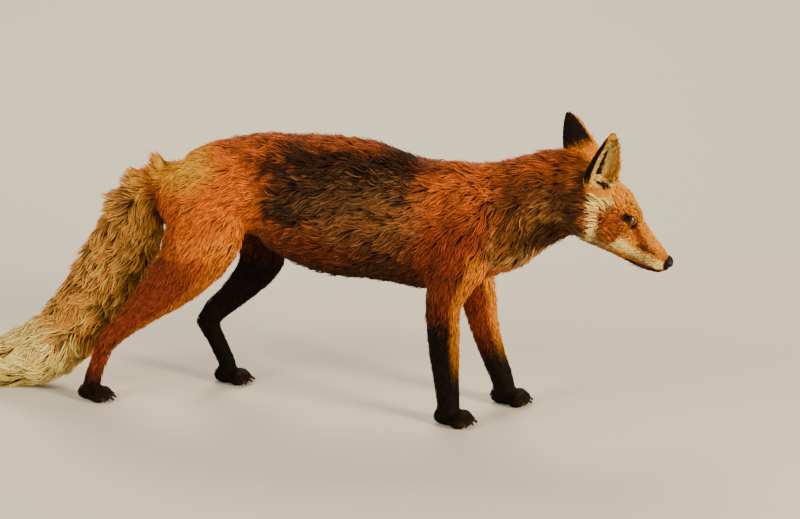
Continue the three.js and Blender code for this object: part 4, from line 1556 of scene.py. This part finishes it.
def spine_tree() -> NodeTree:
    """A Geometry Nodes tree that grows one bent, tapered spine from each vertex.

    Each vertex holds its direction in "way" and the side that the spine bends to in "lean".
    Returns: the tree.
    """
    inputs = {"Geometry": ("Geometry",)}
    inputs |= {name: ("Float", 0.0) for name in ("Length", "Radius", "Bend", "Taper", "Jitter")}
    inputs |= {"Steps": ("Int", 8), "Sides": ("Int", 5), "Material": ("Material",)}
    graph = Graph.group("spines", "Geometry", inputs, ("Geometry", "Geometry"))
    node, maths = graph.node, graph.maths
    given = node("NodeGroupInput").outputs
    end = node("ShaderNodeCombineXYZ", {"Z": given["Length"]})
    line = node("GeometryNodeCurvePrimitiveLine", {"End": end.outputs[0]})
    fine = node("GeometryNodeResampleCurve", {"Curve": line.outputs[0], "Count": given["Steps"]})
    t = node("GeometryNodeSplineParameter").outputs["Factor"]
    bow = maths("MULTIPLY", maths("POWER", t, 2.0), maths("MULTIPLY", given["Bend"], given["Length"]))
    off = node("ShaderNodeCombineXYZ", {"X": bow})
    bent = node("GeometryNodeSetPosition", {"Geometry": fine.outputs[0], "Offset": off.outputs[0]})
    slim = maths("POWER", maths("SUBTRACT", 1.0, maths("MULTIPLY", t, 0.97)), given["Taper"])
    thin = node("GeometryNodeSetCurveRadius", {"Curve": bent.outputs[0], "Radius": slim})
    ring = node("GeometryNodeCurvePrimitiveCircle", {"Radius": given["Radius"], "Resolution": given["Sides"]})
    section = {"Curve": thin.outputs[0], "Profile Curve": ring.outputs[0], "Fill Caps": True}
    tube = node("GeometryNodeCurveToMesh", section)
    spots = node("GeometryNodeMeshToPoints", {"Mesh": given["Geometry"]})
    way, lean = (
        node("GeometryNodeInputNamedAttribute", {"Name": name}, data_type="FLOAT_VECTOR").outputs["Attribute"]
        for name in ("way", "lean")
    )
    aim = node("FunctionNodeAxesToRotation", {"Primary Axis": way, "Secondary Axis": lean},
               primary_axis="Z", secondary_axis="X")
    size = node("FunctionNodeRandomValue", {"Seed": SEED}, data_type="FLOAT")
    least, most = [socket for socket in size.inputs if socket.type == "VALUE"][:2]
    graph.tree.links.new(maths("SUBTRACT", 1.0, given["Jitter"]), least)
    most.default_value = 1.0
    scale = next(socket for socket in size.outputs if socket.type == "VALUE")
    stand = node("GeometryNodeInstanceOnPoints", {"Points": spots.outputs[0], "Instance": tube.outputs[0],
                                                  "Rotation": aim.outputs[0], "Scale": scale})
    plain = node("GeometryNodeRealizeInstances", {0: stand.outputs[0]})
    dressed = node("GeometryNodeSetMaterial", {"Geometry": plain.outputs[0], "Material": given["Material"]})
    node("NodeGroupOutput", {0: dressed.outputs[0]})
    return graph.tree


@dataclass(frozen=True)
class Spines:
    """A set of spines of one kind: whiskers or claws. Lengths are in metres, as the tree takes them."""

    name: str
    length: float
    radius: float
    bend: float
    taper: float
    jitter: float
    steps: int
    sides: int

    def build(self, tree: NodeTree, points: Array, ways: Array, leans: Array,
              material: Material) -> Object:
        """Grows them and makes them plain mesh.

        Args: tree: what grows them; points: their roots; ways: their directions; leans: where they bend to;
            material: their material.
        Returns: the object.
        """
        seeds = bpy.data.meshes.new(self.name + "_roots")
        seeds.from_pydata([tuple(p) for p in (points + SHIFT) / 1000], [], [])
        for name, values in (("way", ways), ("lean", leans)):
            stored = seeds.attributes.new(name, "FLOAT_VECTOR", "POINT")
            stored.data.foreach_set("vector", np.asarray(values, np.float32).ravel())
        draft = bpy.data.objects.new(self.name + "_roots", seeds)
        bpy.context.scene.collection.objects.link(draft)
        modifier = draft.modifiers.new("spines", "NODES")
        modifier.node_group = tree
        given = {key.capitalize(): value for key, value in vars(self).items()} | {"Material": material}
        for socket in tree.interface.items_tree:
            if socket.in_out == "INPUT" and socket.name in given:
                modifier[socket.identifier] = given[socket.name]
        mesh = bpy.data.meshes.new_from_object(draft.evaluated_get(bpy.context.evaluated_depsgraph_get()))
        mesh.name = self.name
        bpy.data.objects.remove(draft)
        for polygon in mesh.polygons:
            polygon.use_smooth = True
        made = bpy.data.objects.new(self.name, mesh)
        bpy.context.scene.collection.objects.link(made)
        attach(made, BODY)
        return made


def whisker_roots(hide: Hide) -> tuple[Array, Array, Array]:
    """Where whiskers grow on the lips and brows, their directions and where they bend to."""
    rows = []
    for side in SIDES:
        for row, column in np.ndindex(4, 5):
            rows.append(((-24 - column * 5.2 - row, side * 30, -9 - row * 3.6 + column * 0.4),
                         (-0.72, side * (0.62 - 0.05 * column), -0.12 - 0.16 * row),
                         (-0.5, -side * 0.4, -0.8)))
        for step in range(2):
            rows.append(((-94 - step * 5, side * 34, 27 + step), (-0.85, side * 0.5, 0.25), (-1, 0, -0.6)))
    points, ways, leans = np.array(rows, float).swapaxes(0, 1)
    found = HEAD.outside(points)
    inwards = HEAD.ways(-np.sign(points) * (0, 1, 0))
    for _ in range(24):
        found = found + inwards * (hide.height(found) * 0.8)[:, None]
    return found, HEAD.ways(unit(ways)), HEAD.ways(unit(leans))


def claw_roots() -> tuple[Array, Array, Array]:
    """Where claws grow on the toes, their directions and where they bend to."""
    points, ways = [], []
    for paw in PAWS:
        for yaw, x, y, z in paw.toes():
            turn = math.radians(yaw)
            points.append(paw.place.outside((x + paw.length * paw.size * 0.07, y, z)))
            ways.append(paw.place.ways((math.cos(turn), math.sin(turn), -0.12)))
    return np.array(points), unit(np.array(ways)), np.tile((0.0, 0.0, -1.0), (len(points), 1))


WHISKERS = Spines("whiskers", 0.032, 0.00032, 0.28, 1.0, 0.4, 9, 4)
CLAWS = Spines("claws", 0.0125, 0.0019, 0.34, 0.6, 0.12, 7, 7)


# ---- Finishes ----


def grain_group() -> NodeTree:
    """The shader node group that roughens a surface with fine grain."""
    graph = Graph.group("grain", "Shader", {"Scale": ("Float", 900.0), "Strength": ("Float", 0.4)},
                        ("Normal", "Vector"))
    node = graph.node
    given = node("NodeGroupInput").outputs
    place = node("ShaderNodeTexCoord").outputs["Object"]
    noise = node("ShaderNodeTexNoise", {"Vector": place, "Scale": given["Scale"], "Detail": 3.0})
    bump = node("ShaderNodeBump",
                {"Distance": 0.0006, "Strength": given["Strength"], "Height": noise.outputs["Fac"]})
    node("NodeGroupOutput", {"Normal": bump.outputs["Normal"]})
    return graph.tree


def fleck_group() -> NodeTree:
    """The shader node group that makes a painted colour lighter and darker in fine flecks."""
    inputs = {"Color": ("Color",), "Scale": ("Float", 700.0), "Low": ("Float", 0.7), "High": ("Float", 1.3)}
    graph = Graph.group("fleck", "Shader", inputs, ("Color", "Color"))
    node = graph.node
    given = node("NodeGroupInput").outputs
    place = node("ShaderNodeTexCoord").outputs["Object"]
    noise = node("ShaderNodeTexNoise", {"Vector": place, "Scale": given["Scale"], "Detail": 1.0})
    span = node("ShaderNodeMapRange", {"Value": noise.outputs["Fac"], "From Min": 0.3, "From Max": 0.7,
                                       "To Min": given["Low"], "To Max": given["High"]})
    tint_by = node("ShaderNodeVectorMath", operation="SCALE")
    graph.tree.links.new(given["Color"], tint_by.inputs[0])
    graph.tree.links.new(span.outputs["Result"], tint_by.inputs["Scale"])
    node("NodeGroupOutput", {"Color": tint_by.outputs["Vector"]})
    return graph.tree


@dataclass(frozen=True)
class Finish:
    """A surface of one kind."""

    name: str
    roughness: float
    specular: float = 0.4
    coat: float = 0.0
    sheen: float = 0.0
    grain: float = 0.0
    bump: float = 0.0
    fleck: float = 0.0
    colour: str = ""

    def build(self, grain: NodeTree, fleck: NodeTree) -> Material:
        """Its material: painted colours with flecks, or one colour, and a grain if it has one.

        Args: grain: the group of fine grain; fleck: the group of flecks.
        Returns: the material.
        """
        material = bpy.data.materials.new(self.name)
        material.use_nodes = True
        graph = Graph(material.node_tree)
        inputs = {"Roughness": self.roughness, "Specular IOR Level": self.specular, "Coat Weight": self.coat,
                  "Coat Roughness": 0.05, "Sheen Weight": self.sheen, "Sheen Roughness": 0.5,
                  "Sheen Tint": (1.0, 0.7, 0.36, 1.0)}
        shader = graph.tree.nodes["Principled BSDF"]
        for name, value in inputs.items():
            shader.inputs[name].default_value = value
        if self.colour:
            shader.inputs["Base Color"].default_value = (*linear(self.colour), 1)
        else:
            source = graph.node("ShaderNodeVertexColor", layer_name=COLOURS)
            if self.fleck:
                spread = {"Low": 1 - self.fleck, "High": 1 + self.fleck, "Color": source.outputs["Color"]}
                source = graph.node("ShaderNodeGroup", spread, node_tree=fleck)
            graph.tree.links.new(source.outputs["Color"], shader.inputs["Base Color"])
        if self.bump:
            amount = {"Scale": self.grain, "Strength": self.bump}
            rough = graph.node("ShaderNodeGroup", amount, node_tree=grain)
            graph.tree.links.new(rough.outputs["Normal"], shader.inputs["Normal"])
        return material


SKIN = Finish("skin", 0.85, 0.15, grain=900, bump=0.4, fleck=0.3)
FUR = Finish("fur", 0.68, 0.1, sheen=0.02, fleck=0.25)
EYE = Finish("eye", 0.25, 0.3, coat=0.25)
LEATHER = Finish("nose_leather", 0.5, 0.3, grain=1100, bump=0.5, colour="0a0807")
HORN = Finish("claw", 0.35, 0.5, colour="241b15")
BRISTLE = Finish("whisker", 0.45, 0.4, colour="14100e")


# ---- The whole fox and its stage ----


@dataclass(frozen=True)
class Lamp:
    """A square soft light that faces the fox: place and size in metres, power in watts."""

    name: str
    place: Triple
    size: float
    power: float
    colour: Triple

    AIM = Vector((0, 0, 0.2))

    def build(self) -> None:
        """Sets it up on the stage."""
        light = bpy.data.lights.new(self.name, "AREA")
        light.size, light.energy, light.color = self.size, self.power, self.colour
        lamp = bpy.data.objects.new(self.name, light)
        lamp.location = self.place
        lamp.rotation_euler = (self.AIM - lamp.location).to_track_quat("-Z", "Y").to_euler()
        bpy.context.scene.collection.objects.link(lamp)


LAMPS = (
    Lamp("key", (3.5, -1.5, 1.5), 1.0, 270, (1.0, 0.77, 0.48)),
    Lamp("fill", (-2.4, -2.0, 1.8), 1.4, 100, (1.0, 0.84, 0.6)),
    Lamp("rim", (-0.6, 2.4, 2.6), 1.6, 110, (1.0, 0.82, 0.56)),
)
SKY = ((1.0, 0.95, 0.86, 1), 0.4)  # the studio's colour and strength
FLOOR_COLOUR = (0.62, 0.61, 0.58, 1)
FLOOR_HALF = 6000.0
# The camera: turned from the fox's right side and raised, in degrees, and its distance from what it looks at.
AZIMUTH, ELEVATION, AWAY = 13, 18, 9.0
TARGET = (97.7, 0.0, 212.8)  # in the body's frame
SENSOR, SPAN = 36, 1.088  # the sensor's width in mm, and in metres what it takes in at the target


def build_skins(hide: Hide, rng: Random, groups: tuple) -> None:
    """The skin with its coat, and the ears with theirs.

    Args: hide: the skin's fields; rng: the draws for the ears; groups: the groups of grain and flecks.
    """
    fur, bare_skin = FUR.build(*groups), SKIN.build(*groups)
    points, triangles = build_skin(hide)
    made = make_object("skin", points, triangles, hide.way_out(points))
    tint(made, markings_and_painted_light(points).blend(0.3, 0.45))
    flesh = [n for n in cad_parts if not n.endswith(("_eye", "_ear")) and n != "nose"]
    dress(made, bare_skin, "coat_rust", *flesh)
    Coat(hide, points, triangles).grow(fur)
    for ear in EARS:
        name = SIDES[ear.side]
        points, quads, normals = ear.skin()
        made = make_object(f"ear_{name}", ear.outside(points), quads, normals @ ear.axes.T)
        tint(made, ear.markings_and_painted_light(points, normals).blend(0.35, 0.4))
        dress(made, bare_skin, "coat_black", f"{name}_ear")
        finish_coat(f"coat_ear_{name}", ear.locks(points, halves(quads), rng), fur)


def build_stage() -> None:
    """Floor, light and camera."""
    corners = np.array([(-1, -1, 0), (1, -1, 0), (1, 1, 0), (-1, 1, 0)]) * FLOOR_HALF
    floor = make_object("floor", corners, np.array([[0, 1, 2, 3]]))
    pale = bpy.data.materials.new("floor")
    pale.use_nodes = True
    inputs = pale.node_tree.nodes["Principled BSDF"].inputs
    inputs["Base Color"].default_value, inputs["Roughness"].default_value = FLOOR_COLOUR, 0.9
    floor.data.materials.append(pale)
    world = bpy.data.worlds.new("studio")
    bpy.context.scene.world = world
    world.use_nodes = True
    inputs = world.node_tree.nodes["Background"].inputs
    inputs["Color"].default_value, inputs["Strength"].default_value = SKY
    for lamp in LAMPS:
        lamp.build()
    azimuth, elevation = math.radians(AZIMUTH), math.radians(ELEVATION)
    level = math.cos(elevation)
    back = Vector((math.sin(azimuth) * level, -math.cos(azimuth) * level, math.sin(elevation)))
    camera = bpy.data.objects.new("camera", bpy.data.cameras.new("camera"))
    camera.data.lens = SENSOR * AWAY / SPAN
    camera.data.clip_end = 60
    camera.location = Vector((np.array(TARGET) + SHIFT) / 1000) + back * AWAY
    camera.rotation_euler = (-back).to_track_quat("-Z", "Y").to_euler()
    bpy.context.scene.collection.objects.link(camera)
    bpy.context.scene.camera = camera


def main() -> None:
    """Builds the fox, its floor, lights and camera."""
    groups = (grain_group(), fleck_group())
    hide = Hide()
    build_skins(hide, np.random.default_rng(SEED + 1), groups)
    for side, name in SIDES.items():
        dress(build_eye(side), EYE.build(*groups), "eye", f"{name}_eye")
    dress(build_nose(), LEATHER.build(*groups), "nose_leather", "nose")
    tree = spine_tree()
    WHISKERS.build(tree, *whisker_roots(hide), BRISTLE.build(*groups))
    CLAWS.build(tree, *claw_roots(), HORN.build(*groups))
    build_stage()


if __name__ == "__main__":
    main()
